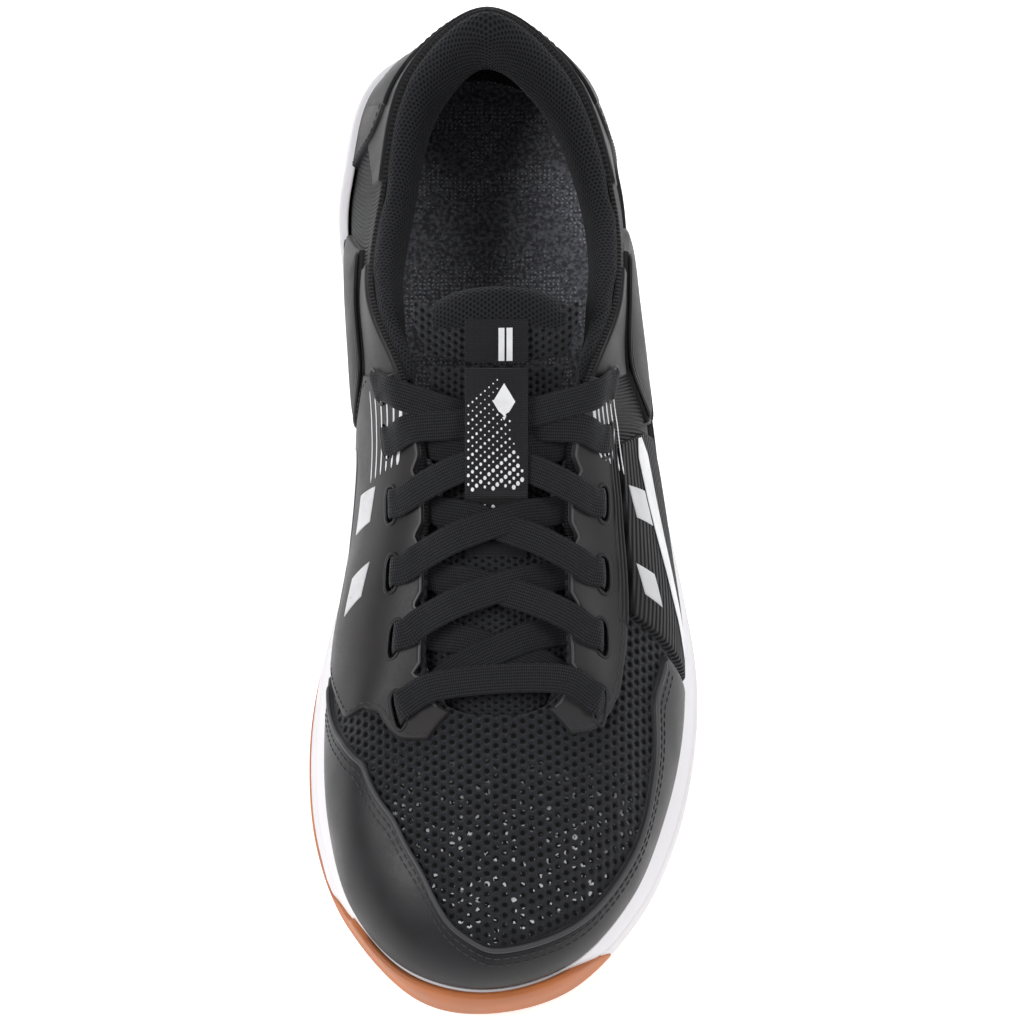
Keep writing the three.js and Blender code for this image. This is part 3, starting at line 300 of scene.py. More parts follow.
def on_last(pairs, step):
    """Stations and heights every step mm along a given line of (station, height) points."""
    t, r = np.array(pairs, float).T
    k = np.linspace(0, len(t) - 1, 40 * len(t))
    t, r = np.interp(k, np.arange(len(t)), t), np.interp(k, np.arange(len(r)), r)
    weights = np.ones(LINE_WINDOW) / LINE_WINDOW
    t, r = (np.convolve(np.pad(k, LINE_WINDOW // 2, "edge"), weights, "valid") for k in (t, r))
    p = last(t, r)
    s = np.concatenate([[0], np.cumsum(np.linalg.norm(np.diff(p, axis=0), axis=1))])
    n = max(int(s[-1] / step), 2)
    at = np.linspace(0, s[-1], n + 1)
    return np.interp(at, s, t), np.interp(at, s, r)


def on_skin(pairs, step, offset):
    """Stations, centres, tangents, normals and side directions along a line on the last."""
    t, r = on_last(pairs, step)
    centre = skin(t, r, np.full(t.shape, float(offset)))
    tangent = unit(np.gradient(centre, axis=0))
    normal = axes(t, r)[2]
    return t, centre, tangent, normal, unit(np.cross(normal, tangent))


def curve_line(curve, t0, t1, shift, count):
    """A line that follows an edge curve between two stations, shift mm inside it."""
    t = np.linspace(t0, t1, count)
    r = curve(t)
    mm = np.linalg.norm(last(t, r + 0.01) - last(t, r - 0.01), axis=-1) / 0.02
    return list(zip(t, r + shift / mm))


def strip(name, lines, material, width, offset, thick=0.12, taper=0.0):
    """Flat printed or welded strips on the last, one for each line, joined into one object."""
    profile = ((-1, -0.3), (-1, 0.7), (-0.8, 1), (0.8, 1), (1, 0.7), (1, -0.3))
    points, faces, cloth = [], [], []
    for k, pairs in enumerate(lines):
        t, centre, _, normal, side = on_skin(pairs, LINE_STEP, offset)
        s = np.linspace(0, 1, len(t))
        w = width[k] if isinstance(width, (list, tuple)) else width
        from_end = np.minimum(s, 1 - s) * len(t) * LINE_STEP
        half = w / 2 * np.clip(from_end / max(w, 0.6) + 0.35, 0, 1) * (1 - taper * s)
        faces += tube_faces(len(points), len(t), len(profile), turned=True)
        for c, d, m, h, q in zip(centre, side, normal, half, s * len(t) * LINE_STEP):
            for x, z in profile:
                points.append(c + d * x * h + m * z * thick)
                cloth.append((q, x * h))
    return make(name, points, faces, material, cloth)


def stitch_rows(name, rows, material, offset, pitch=2.5):
    """Stitches along given lines on the last: one small rounded thread loop at each place."""
    sections = [(-0.5, 0.35), (-0.3, 0.85), (0, 1), (0.3, 0.85), (0.5, 0.35)]
    length, width, height, ring = pitch * 0.78, 0.55, 0.34, 6
    points, faces = [], []
    for pairs in rows:
        for c, t, n, s in zip(*on_skin(pairs, pitch, offset)[1:]):
            faces += tube_faces(len(points), len(sections), ring)
            for x, size in sections:
                for k in range(ring):
                    angle = 2 * math.pi * k / ring
                    across, up = math.cos(angle) * width / 2 * size, math.sin(angle) * height / 2 * size
                    lift = up + height * 0.1 - abs(x) * height * 0.5
                    points.append(c + t * x * length + s * across + n * lift)
    return make(name, points, faces, material)


def piping(name, lines, material, radius, offset):
    """Raised round cords laid along lines on the last."""
    points, faces, ring = [], [], 10
    for pairs in lines:
        t, centre, _, normal, side = on_skin(pairs, LINE_STEP, offset)
        rows = len(t)
        faces += tube_faces(len(points), rows, ring, turned=True)
        for i in range(rows):
            size = radius * (0.35, 0.8, 1.0)[min(i, rows - 1 - i, 2)]
            for j in range(ring):
                a = 2 * math.pi * j / ring
                points.append(centre[i] + side[i] * math.cos(a) * size + normal[i] * math.sin(a) * size)
    return facing_out(make(name, points, faces, material))


CLOTH_FRAMES = 20


def inflate(obj, voxel, pressure, cap, keep=None):
    """Lets a padded piece swell as cloth under pressure, and moves its mesh by what the cloth moved.

    The cloth is a remeshed copy, so the piece keeps its own clean mesh. keep scales the movement at a point.
    """
    copy = obj.copy()
    copy.data = obj.data.copy()
    bpy.context.scene.collection.objects.link(copy)
    remesh = copy.modifiers.new("cells", "REMESH")
    remesh.mode, remesh.voxel_size = "VOXEL", voxel * MM
    graph = bpy.context.evaluated_depsgraph_get()
    coarse = bpy.data.meshes.new_from_object(copy.evaluated_get(graph))
    copy.modifiers.clear()
    copy.data = coarse
    rest = vertices_of(coarse)
    cloth = copy.modifiers.new("cloth", "CLOTH")
    cloth.settings.use_pressure = True
    cloth.settings.uniform_pressure_force = pressure
    cloth.settings.effector_weights.gravity = 0
    cloth.settings.quality = 6
    cloth.settings.mass = 0.2
    cloth.settings.bending_stiffness = 2.0
    cloth.settings.tension_stiffness = cloth.settings.compression_stiffness = 12
    cloth.point_cache.frame_end = CLOTH_FRAMES
    scene = bpy.context.scene
    for number in range(1, CLOTH_FRAMES + 1):
        scene.frame_set(number)
    moved = vertices_of(copy.evaluated_get(bpy.context.evaluated_depsgraph_get()).to_mesh())
    scene.frame_set(1)
    shift = moved - rest
    length = np.linalg.norm(shift, axis=1, keepdims=True)
    shift *= np.minimum(1, cap * MM / np.maximum(length, 1e-9))
    tree = KDTree(len(rest))
    for i, point in enumerate(rest):
        tree.insert(point, i)
    tree.balance()
    points = vertices_of(obj.data)
    for i, point in enumerate(points):
        near = tree.find_n(point, 8)
        weights = np.array([1 / (n[2] + 0.3 * MM) ** 2 for n in near])
        change = (shift[[n[1] for n in near]] * weights[:, None]).sum(0) / weights.sum()
        points[i] = point + change * (keep(point / MM) if keep else 1)
    obj.data.vertices.foreach_set("co", points.astype(np.float32).ravel())
    obj.data.update()
    bpy.data.objects.remove(copy)


def vertices_of(mesh):
    points = np.empty(len(mesh.vertices) * 3, np.float32)
    mesh.vertices.foreach_get("co", points)
    return points.reshape(-1, 3).astype(float)


# ---- Materials -------------------------------------------------------------------------------------
def tint(colour, share):
    return tuple(min(c * share, 1) for c in colour)


class Shader:
    """A Principled material with short ways to add the nodes that its surface needs."""

    def __init__(self, name, colour, roughness, **sockets):
        self.material = bpy.data.materials.new(name)
        self.material.use_nodes = True
        self.tree = self.material.node_tree
        self.shader = self.tree.nodes["Principled BSDF"]
        self.set(**{"Base Color": (*colour, 1), "Roughness": roughness}, **sockets)
        self.colour = colour

    def set(self, **sockets):
        for key, value in sockets.items():
            self.shader.inputs[key].default_value = value

    def node(self, kind, **values):
        node = self.tree.nodes.new(kind)
        for key, value in values.items():
            if key in node.inputs:
                node.inputs[key].default_value = value
            else:
                setattr(node, key, value)
        return node

    def link(self, out, into):
        self.tree.links.new(out, into)

    def cloth(self):
        return self.node("ShaderNodeAttribute", attribute_name="cloth").outputs["Vector"]

    def space(self):
        return self.node("ShaderNodeTexCoord").outputs["Object"]

    def math(self, operation, a, b=None, clamp=False):
        node = self.node("ShaderNodeMath", operation=operation, use_clamp=clamp)
        for socket, value in zip(node.inputs, (a, b)):
            if value is None:
                continue
            if isinstance(value, (int, float)):
                socket.default_value = value
            else:
                self.link(value, socket)
        return node.outputs[0]

    def plus(self, a, b, share):
        """a + b * share."""
        return self.math("ADD", a, self.math("MULTIPLY", b, share))

    def dot(self, vector, direction):
        node = self.node("ShaderNodeVectorMath", operation="DOT_PRODUCT")
        self.link(vector, node.inputs[0])
        node.inputs[1].default_value = (*direction, 0) if len(direction) == 2 else direction
        return node.outputs["Value"]

    def wave(self, vector, pitch, angle=0.0):
        """Cosine ripple of that pitch across the cloth, -1 to 1."""
        k = 2 * math.pi / pitch
        angle = math.radians(angle)
        return self.math("COSINE", self.dot(vector, (k * math.cos(angle), k * math.sin(angle))))

    def noise(self, vector, scale, detail=3.0, roughness=0.55):
        node = self.node("ShaderNodeTexNoise", Scale=scale, Detail=detail, Roughness=roughness)
        self.link(vector, node.inputs["Vector"])
        return node.outputs["Fac"]

    def ramp(self, value, low, high, a=0.0, b=1.0):
        node = self.node("ShaderNodeMapRange", interpolation_type="SMOOTHSTEP")
        for key, number in (("From Min", low), ("From Max", high), ("To Min", a), ("To Max", b)):
            node.inputs[key].default_value = number
        self.link(value, node.inputs["Value"])
        return node.outputs["Result"]

    def mix(self, factor, a, b):
        node = self.node("ShaderNodeMix", data_type="RGBA")
        self.link(factor, node.inputs["Factor"])
        for socket, value in ((node.inputs["A"], a), (node.inputs["B"], b)):
            if hasattr(value, "is_linked") or hasattr(value, "links"):
                self.link(value, socket)
            else:
                socket.default_value = (*value, 1)
        return node.outputs["Result"]

    def mottle(self, scale, detail, dark, light, high=0.7):
        """Cloudy variation of the colour; gives back the place in space and the clouds."""
        space = self.space()
        cloudy = self.noise(space, scale, detail)
        self.paint(self.mix(self.ramp(cloudy, 0.3, high), tint(self.colour, dark), tint(self.colour, light)))
        return space, cloudy

    def paint(self, output):
        self.link(output, self.shader.inputs["Base Color"])

    def rough(self, output):
        self.link(output, self.shader.inputs["Roughness"])

    def bump(self, height, strength=0.4, distance=0.4):
        """Adds relief; distance is its depth in mm."""
        node = self.node("ShaderNodeBump", Strength=strength, Distance=distance * MM)
        self.link(height, node.inputs["Height"])
        if self.shader.inputs["Normal"].is_linked:
            before = self.shader.inputs["Normal"].links[0].from_socket
            self.link(before, node.inputs["Normal"])
        self.link(node.outputs["Normal"], self.shader.inputs["Normal"])


def hex_holes(s, vector, pitch):
    """Sum of three ripples: high at the points of a hexagonal grid, where an open knit has its holes."""
    waves = [s.wave(vector, pitch, angle) for angle in (0, 120, 240)]
    return s.math("ADD", s.math("ADD", waves[0], waves[1]), waves[2])


# Pale Voronoi dots, used as painted glints in the open mesh.
def glint_dots(s, vector, scale, low, high):
    node = s.node("ShaderNodeTexVoronoi", Scale=scale)
    s.link(vector, node.inputs["Vector"])
    split = s.node("ShaderNodeSeparateColor")
    s.link(node.outputs["Color"], split.inputs[0])
    return s.ramp(split.outputs[0], low, high)


def open_mesh(name, yarn, hole_shade, pitch, fibre=5.5, glint_span=None):
    """Open spacer mesh: holes darkened with painted shade between raised yarn, each yarn broken into lighter
    fibres; near the toe, painted glints can show in the holes.
    """
    s = Shader(name, yarn, 0.85, **{"Sheen Weight": 0.1, "Sheen Roughness": 0.4, "Specular IOR Level": 0.3})
    cloth = s.cloth()
    holes = hex_holes(s, cloth, pitch)
    wander = s.noise(cloth, 0.9, 2)
    depth = s.ramp(s.plus(holes, wander, 1.4), 0.6, 1.9)
    fibres = s.noise(cloth, fibre, 2, 0.7)
    lit = s.mix(s.ramp(fibres, 0.42, 0.66), yarn, tint(yarn, 3.6))
    # Painted shade: the holes are mixed towards a near-black colour that stands in for the shade inside them.
    colour = s.mix(depth, lit, hole_shade)
    # Painted glints: pale dots in the holes near the toe stand in for light passing through the mesh and
    # catching its filaments.
    if glint_span:
        glints = s.math("MULTIPLY", glint_dots(s, cloth, 1.15, 0.86, 0.90), s.ramp(depth, 0.45, 0.8))
        low = s.node("ShaderNodeSeparateXYZ")
        s.link(s.space(), low.inputs[0])
        toe = s.ramp(low.outputs["Y"], glint_span[0] * MM, glint_span[1] * MM, 1, 0)
        colour = s.mix(s.math("MULTIPLY", glints, toe), colour, (0.75, 0.75, 0.78))
    s.paint(colour)
    s.rough(s.ramp(depth, 0, 1, 0.72, 0.95))
    s.bump(s.plus(s.math("MULTIPLY", holes, -0.5), fibres, 0.9), 0.9, 0.5)
    return s.material


def knit(name, yarn, pitch=1.15, contrast=3.0):
    """Fine knit with rows of tiny holes."""
    s = Shader(name, yarn, 0.85, **{"Sheen Weight": 0.08, "Sheen Roughness": 0.35, "Specular IOR Level": 0.2})
    cloth = s.cloth()
    cells = hex_holes(s, cloth, pitch)
    fibres = s.noise(cloth, 6, 2, 0.7)
    shade = s.plus(s.math("MULTIPLY", cells, -0.33), fibres, 0.9)
    bright = tint(yarn, contrast)
    s.paint(s.mix(s.ramp(shade, 0.0, 0.85), tint(yarn, 0.35), bright))
    s.bump(shade, 0.8, 0.35)
    return s.material


def synthetic(name, colour, roughness=0.46, grain=1.0, sheen=0.03, coat=0.05, shine=0.3):
    """Smooth coated synthetic: fine grain, faint mottling and a soft worn sheen."""
    film = {"Coat Weight": coat, "Coat Roughness": 0.45, "Sheen Weight": sheen, "Specular IOR Level": shine}
    s = Shader(name, colour, roughness, **film)
    space, cloudy = s.mottle(60, 4, 0.85, 1.35)
    fine = s.noise(space, 1500, 3, 0.6)
    s.rough(s.ramp(s.plus(cloudy, fine, 0.5), 0.5, 1.0, roughness - 0.06, roughness + 0.08))
    s.bump(fine, 0.25 * grain, 0.12)
    return s


def ribbed(name, colour, pitch=1.9, angle=90.0, depth=0.5, light=1.9):
    s = Shader(name, colour, 0.6, **{"Sheen Weight": 0.04, "Specular IOR Level": 0.2})
    cloth = s.cloth()
    ribs = s.wave(cloth, pitch, angle)
    fibres = s.noise(cloth, 4, 2, 0.7)
    s.paint(s.mix(s.ramp(ribs, -0.7, 0.8), tint(colour, 0.4), tint(colour, light)))
    s.bump(s.plus(ribs, fibres, 0.5), 0.8, depth)
    return s.material


def hatched(name, colour):
    """Synthetic with a print of fine diagonal dashes."""
    s = synthetic(name, colour, 0.5)
    cloth = s.cloth()
    lines = s.ramp(s.wave(cloth, 1.5, 38), 0.35, 0.8)
    broken = s.ramp(s.noise(cloth, 0.35, 1), 0.42, 0.6)
    ink = s.math("MULTIPLY", lines, broken)
    base = s.shader.inputs["Base Color"].links[0].from_socket
    s.paint(s.mix(s.math("MULTIPLY", ink, 0.4), base, (0.10, 0.10, 0.105)))
    s.bump(ink, 0.5, 0.15)
    return s.material


def woven(name, colour, across=0.9, along=1.1, contrast=3.6, sheen=0.12):
    """Flat braided tape or twill: short threads that lean one way, then the other."""
    soft = {"Sheen Weight": sheen, "Sheen Roughness": 0.4, "Specular IOR Level": 0.25}
    s = Shader(name, colour, 0.8, **soft)
    cloth = s.cloth()
    one = s.wave(cloth, along, 35)
    two = s.wave(cloth, across, -35)
    threads = s.math("MULTIPLY", one, two)
    fibres = s.noise(cloth, 5, 2, 0.7)
    shade = s.plus(fibres, threads, 0.4)
    s.paint(s.mix(s.ramp(shade, 0.2, 1.0), tint(colour, 0.4), tint(colour, contrast)))
    s.bump(shade, 0.8, 0.3)
    return s.material


def foam(name, colour):
    """Moulded midsole foam: satin skin, very fine pebble and faint cloudy soiling."""
    s = Shader(name, colour, 0.5, **{"Subsurface Weight": 0.08, "Subsurface Radius": (0.004, 0.004, 0.004)})
    space, cloudy = s.mottle(25, 3, 0.95, 1, 0.75)
    pebble = s.noise(space, 1200, 2, 0.5)
    s.rough(s.ramp(cloudy, 0.3, 0.7, 0.44, 0.56))
    s.bump(pebble, 0.3, 0.1)
    return s.material


def gum(name, colour):
    """Gum rubber: warm, slightly translucent, with a fine moulded texture."""
    s = Shader(name, colour, 0.55, **{"Subsurface Weight": 0.15, "Subsurface Radius": (0.006, 0.002, 0.001)})
    space, cloudy = s.mottle(35, 4, 0.82, 1.12)
    fine = s.noise(space, 1800, 2)
    s.rough(s.ramp(cloudy, 0.3, 0.7, 0.48, 0.64))
    s.bump(fine, 0.3, 0.1)
    return s.material


def insole_cloth(name):
    s = Shader(name, (0.03, 0.031, 0.037), 0.9, **{"Sheen Weight": 0.3})
    space = s.space()
    weave = s.noise(space, 900, 2, 0.6)
    node = s.node("ShaderNodeTexVoronoi", Scale=760.0, Randomness=0.35)
    s.link(space, node.inputs["Vector"])
    dots = s.ramp(node.outputs["Distance"], 0.14, 0.30, 1, 0)
    body = s.mix(s.ramp(weave, 0.35, 0.7), (0.08, 0.08, 0.095), (0.27, 0.275, 0.31))
    s.paint(s.mix(s.math("MULTIPLY", dots, 0.7), body, (0.72, 0.72, 0.80)))
    s.bump(s.plus(weave, dots, 0.6), 0.6, 0.3)
    return s.material


def plain(name, colour, roughness, coat=0.0, bump=0.2):
    s = Shader(name, colour, roughness, **{"Coat Weight": coat})
    space, cloudy = s.mottle(90, 3, 0.88, 1.08)
    s.rough(s.ramp(cloudy, 0.3, 0.7, roughness - 0.05, roughness + 0.06))
    s.bump(s.noise(space, 1400, 2), bump, 0.1)
    return s.material


VAMP_PITCH, TONGUE_PITCH = 2.55, 1.9  # mm between the holes of the two open meshes
HOLE_SHADE = (0.0015, 0.0015, 0.002)  # painted shade down in the holes of the open meshes
M = {
    # The vamp mesh gets painted glints in its holes between these two Y places near the toe, in mm.
    "mesh": open_mesh("open_mesh", (0.011, 0.0115, 0.0145), HOLE_SHADE, VAMP_PITCH, glint_span=(-128, -82)),
    "tongue_mesh": open_mesh("tongue_mesh", (0.012, 0.0125, 0.0155), HOLE_SHADE, TONGUE_PITCH),
    "knit": knit("collar_knit", (0.0062, 0.0064, 0.008), 1.15, 3.2),
    "roll_knit": knit("roll_knit", (0.0062, 0.0064, 0.008), 1.05, 3.4),
    "synthetic": synthetic("toe_synthetic", (0.0115, 0.0115, 0.0132)).material,
    "warm": synthetic("quarter_synthetic", (0.0175, 0.0155, 0.016), 0.5).material,
    "hatched": hatched("lateral_print", (0.0062, 0.006, 0.007)),
    "ribbed": ribbed("ribbed_quarter", (0.009, 0.009, 0.0105)),
    "rib_knit": ribbed("ribbed_textile", (0.0075, 0.0075, 0.009), 1.3, 0.0, 0.35, 1.8),
    "gloss": synthetic("padded_gloss", (0.0095, 0.0095, 0.0108), 0.48, 0.6, coat=0.02, shine=0.16).material,
    "heel": synthetic("heel_synthetic", (0.0095, 0.0095, 0.0108), 0.46, 0.7, coat=0.03, shine=0.18).material,
    "lace": woven("lace_weave", (0.0085, 0.0087, 0.0105), 1.0, 1.0),
    "label": woven("label_twill", (0.0125, 0.0122, 0.0145), 0.55, 0.55, 2.4, 0.15),
    "insole": insole_cloth("insole_cloth"),
    "foam": foam("midsole_foam", (0.82, 0.805, 0.835)),
    "gum": gum("gum_rubber", (0.50, 0.155, 0.045)),
    "white": plain("white_film", (0.86, 0.86, 0.88), 0.36, 0.2),
    "silver": plain("silver_film", (0.58, 0.58, 0.60), 0.32, 0.3),
    "print": plain("white_print", (0.82, 0.82, 0.84), 0.5),
    "thread": plain("dark_thread", (0.030, 0.030, 0.034), 0.7),
    "grey": plain("grey_tape", (0.16, 0.16, 0.17), 0.7),
    # Lighter grey: a painted highlight along the edges of the toe cap and eyestays.
    "edge": plain("painted_edge_highlight", (0.045, 0.045, 0.05), 0.5),
    "plastic": plain("black_plastic", (0.012, 0.012, 0.014), 0.35, 0.3),
    "board": plain("board_fibre", (0.45, 0.40, 0.32), 0.9, 0, 0.6),
    "stiff": plain("stiffener_sheet", (0.32, 0.30, 0.27), 0.6),
    "gel": plain("cushion_gel", (0.16, 0.28, 0.38), 0.3, 0.3),
}

# ---- Sole ------------------------------------------------------------------------------------------
OUTSOLE, WRAP_THICK, RIM_GAP, RIM = 3.6, 1.7, 0.7, 0.9
PLATE_TOP = 0.2  # height of the gum plate up the side wall, 1 being the rim
SHANK_TOE, SHANK_HEEL, SHANK_LIFT = -6, 44, 1.6
AT_MIDDLE = 0.995  # how far a ring is drawn in where it closes on the middle line


def ground(y):
    toe = 10 * (np.clip(-95 - y, 0, None) / 55) ** 2
    return toe + 3 * (np.clip(y - 125, 0, None) / 25) ** 2


def signed(t):
    s = np.asarray(t, float) % COUNT
    return np.where(s > HEEL, s - COUNT, s)


def wrap_cover(t):
    """1 where the gum toe wrap reaches the rim, falling to 0 where it ends."""
    s = signed(t)
    return np.where(s > 0, np.clip((2.6 - s) / 1.0, 0, 1), np.clip((-1.6 - s) / -0.7, 0, 1))


def through(points, u):
    """Centripetal Catmull-Rom through points (arrays of rows), at 0 to 1."""
    n = len(points)
    i = min(int(u * (n - 1)), n - 2)
    w = u * (n - 1) - i
    p1, p2 = points[i], points[i + 1]
    p0 = points[i - 1] if i else 2 * p1 - p2
    p3 = points[i + 2] if i + 2 < n else 2 * p2 - p1
    spans = ((p0, p1), (p1, p2), (p2, p3))
    d0, d1, d2 = (np.sqrt(np.linalg.norm(b - a, axis=-1, keepdims=True)) for a, b in spans)
    m1 = ((p1 - p0) / d0 - (p2 - p0) / (d0 + d1) + (p2 - p1) / d1) * d1
    m2 = ((p2 - p1) / d1 - (p3 - p1) / (d1 + d2) + (p3 - p2) / d2) * d1
    return p1 + w * m1 + w * w * (3 * (p2 - p1) - 2 * m1 - m2) + w**3 * (2 * (p1 - p2) + m1 + m2)


def sole_side(t, u):
    """Side wall of the sole: u 0 at the ground edge, 1 at the rim beside the upper."""
    wide = around(SOLE, t)
    out = outward(SOLE, t)
    flare = (smoothstep(t, 1.8, 3.0) * (1 - smoothstep(t, 4.4, 5.8)))[..., None]
    foot = wide - 2.5 * out
    foot[..., 2] = ground(foot[..., 1])
    shoulder = foot + (2.2 + 0.6 * flare) * out
    shoulder[..., 2] = foot[..., 2] + OUTSOLE
    wide = wide + UP * ground(wide[..., 1])[..., None] * 0.4 - 0.8 * flare * out
    reach = RIM_GAP + RIM + wrap_cover(t) * (0.3 + WRAP_THICK)
    rim = around(BITE, t) + outward(BITE, t) * reach[..., None]
    waist = wide + (rim - wide) * 0.55 + 0.4 * out
    return through([foot, shoulder, wide, waist, rim], u)


def bite_ring(t, offset, drop):
    return around(BITE, t) + outward(BITE, t) * offset - UP * drop


def middle_of(ring, share, lift=0.0):
    """The ring drawn in towards the shoe's middle line by share, 1 being the line itself."""
    y = np.clip(ring[:, 1], -92, 108)
    x = np.interp(y, [-150, -60, 10, 60, 150], [-6, -1, -1, -4, -8])
    centre = np.stack([x, y, ring[:, 2]], -1)
    drawn = ring + (centre - ring) * share
    drawn[:, 2] = ring[:, 2] + lift
    return drawn


def solid_of(rings, name, material, body=BODY):
    """Closed rings of equal length joined in order, capped to a line down the middle of the shoe."""
    n = len(rings[0])
    faces = tube_faces(0, len(rings), n, turned=True, caps=False)
    for r, turn in ((0, False), (len(rings) - 1, True)):
        for j in range(n // 2):
            quad = [r * n + k for k in (j, (j + 1) % n, (n - 1 - j - 1) % n, n - 1 - j)]
            quad = list(dict.fromkeys(quad))
            if len(quad) > 2:
                faces.append(tuple(quad if turn else quad[::-1]))
    return facing_out(make(name, np.concatenate(rings), faces, material, body=body))


def facing_out(obj):
    """Turns every face of a closed mesh outwards."""
    bm = bmesh.new()
    bm.from_mesh(obj.data)
    bmesh.ops.remove_doubles(bm, verts=bm.verts, dist=1e-6)
    bmesh.ops.recalc_face_normals(bm, faces=bm.faces)
    bm.to_mesh(obj.data)
    bm.free()
    return obj


def slice_of(obj, name, y0=None, y1=None, z0=None):
    """Copy of a closed mesh cut to a range of Y and above a level, its cuts filled."""
    bm = bmesh.new()
    bm.from_mesh(obj.data)
    for place, normal in (((0, y0, 0), (0, -1, 0)), ((0, y1, 0), (0, 1, 0)), ((0, 0, z0), (0, 0, -1))):
        if any(v is None for v in place):
            continue
        everything = bm.verts[:] + bm.edges[:] + bm.faces[:]
        cut = bmesh.ops.bisect_plane(
            bm, geom=everything, plane_co=Vector(place) * MM, plane_no=Vector(normal), clear_outer=True
        )
        edges = [e for e in cut["geom_cut"] if isinstance(e, bmesh.types.BMEdge)]
        bmesh.ops.triangle_fill(bm, edges=edges, use_beauty=True)
    bmesh.ops.recalc_face_normals(bm, faces=bm.faces)
    mesh = bpy.data.meshes.new(name)
    bm.to_mesh(mesh)
    bm.free()
    piece = bpy.data.objects.new(name, mesh)
    bpy.context.scene.collection.objects.link(piece)
    for material in obj.data.materials:
        mesh.materials.append(material)
    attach(piece, BODY)
    return piece


def tread(x, y):
    """Depth of the tread's grooves under the sole: herringbone, a pivot ring and flex lines."""
    zigzag = np.abs(((x / 20) % 1) - 0.5) * 2 * 4
    band = np.abs(((y + zigzag) / 9) % 1 - 0.5) * 9
    groove = np.clip((1.5 - band) / 0.7, 0, 1)
    far = np.hypot(x + 12, y + 62)
    ring = np.clip((1.4 - np.abs(far - 15.8)) / 0.7, 0, 1)
    groove = np.where(far < 19, ring, groove)
    inner_ring = np.clip((0.9 - np.abs(far - 7)) / 0.6, 0, 1)
    return 1.5 * np.maximum(groove, np.where(far < 19, inner_ring, 0))


def build_sole():
    n = 720
    t = np.arange(n) * COUNT / n
    edge_ring = sole_side(t, 0.0)
    bottom = []
    for share in np.concatenate([[AT_MIDDLE], np.linspace(0.97, 0.06, 62), [0.03, 0.012]]):
        p = middle_of(edge_ring, share)
        p[:, 2] = ground(p[:, 1])
        fade = np.clip(share / 0.08, 0, 1)
        p[:, 2] += tread(p[:, 0], p[:, 1]) * fade
        bottom.append(p)
    side = [sole_side(t, u) for u in (0, 0.02, 0.05, 0.09, 0.13, 0.17, 0.2)]
    side[0] = side[0] + UP * 0.25
    top = [middle_of(side[-1], share) for share in (0.02, 0.5, AT_MIDDLE)]
    plate = solid_of(bottom + side + top, "plate", M["gum"], body=None)
    toe = slice_of(plate, "gum_forefoot", y1=SHANK_TOE)
    heel = slice_of(plate, "gum_heel", y0=SHANK_HEEL)
    shank = slice_of(plate, "shank_plate", y0=SHANK_TOE + 0.3, y1=SHANK_HEEL - 0.3, z0=SHANK_LIFT)
    shank.data.materials[0] = M["plastic"]
    bpy.data.objects.remove(plate)

    steps = 150
    t = np.linspace(-1.6, 5.8, steps + 1)
    cover = wrap_cover(t)
    lip = 0.13 + 0.27 * smoothstep(t, 1.6, 2.8) * (1 - smoothstep(t, 4.6, 5.8))
    reach = np.maximum(PLATE_TOP * (t < 2) + (1.0 - PLATE_TOP) * np.sqrt(cover), lip)
    rows_out, rows_in = [], []
    levels = np.linspace(0, 1, 13)
    for i, tt in enumerate(t):
        one = np.array([tt])
        out = outward(SOLE, one)
        row_out, row_in = [], []
        for k in levels:
            u = 0.12 + (min(reach[i], 1.0) - 0.12) * k
            p = sole_side(one, u)
            edge_round = 1 - max(0, (k - 0.86) / 0.14) ** 2 * 0.9
            row_out.append(p + out * (0.1 + 0.25 * edge_round - 0.25))
            row_in.append(p - out * WRAP_THICK)
        rows_out.append(np.concatenate(row_out))
        rows_in.append(np.concatenate(row_in))
    outer, under = np.array(rows_out), np.array(rows_in)
    points = np.concatenate([outer.reshape(-1, 3), under.reshape(-1, 3)])
    wrap = facing_out(make("gum_wrap", points, shell_faces(*outer.shape[:2]), M["gum"]))

    n = 480
    t = np.arange(n) * COUNT / n
    back = wrap_cover(t)[:, None] * (WRAP_THICK + 0.3)
    rings = []
    base = sole_side(t, PLATE_TOP) + UP * 0.3
    rings += [middle_of(base, share) for share in (AT_MIDDLE, 0.5, 0.02)]
    for u in np.linspace(PLATE_TOP, 1, 26):
        p = sole_side(t, u) - outward(SOLE, t) * back
        if u == PLATE_TOP:
            p = p + UP * 0.3
        line = math.exp(-(((u - 0.62) / 0.02) ** 2)) * 0.55
        rings.append(p - outward(SOLE, t) * line)
    rim_out = rings[-1]
    rings.append((rim_out + bite_ring(t, RIM_GAP, 0.2)) / 2 + UP * 0.35)
    rings.append(bite_ring(t, RIM_GAP, 0.4))
    rings.append(bite_ring(t, RIM_GAP, 4))
    floor = bite_ring(t, RIM_GAP, 8.3)
    rings += [floor, middle_of(floor, 0.5), middle_of(floor, AT_MIDDLE)]
    midsole = solid_of(rings, "foam_midsole", M["foam"])
    return toe, heel, shank, wrap, midsole


def build_insole():
    n = 360
    t = np.arange(n) * COUNT / n
    rings = [bite_ring(t, -2.3, 6.2)]
    rings.insert(0, middle_of(rings[0], AT_MIDDLE))
    rings += [bite_ring(t, *place) for place in ((-2.0, 3.2), (-2.2, 2.3), (-3.2, 2.1), (-4.6, 2.5))]
    edge_ring = bite_ring(t, -6.5, 3.2)
    rings.append(edge_ring)
    for share in (0.06, 0.13, 0.22, 0.34, 0.48, 0.64, 0.8, 0.92, AT_MIDDLE):
        bowl = -0.8 * math.sin(min(share * 2, 1) * math.pi / 2)
        rings.append(middle_of(edge_ring, share, bowl))
    return solid_of(rings, "insole_cover", M["insole"])


gum_forefoot, gum_heel, shank_plate, gum_wrap, midsole = build_sole()
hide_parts("outsole_forefoot")
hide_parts("outsole_heel")
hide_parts("midfoot_shank")
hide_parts("midsole")
insole = build_insole()
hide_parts("insole")

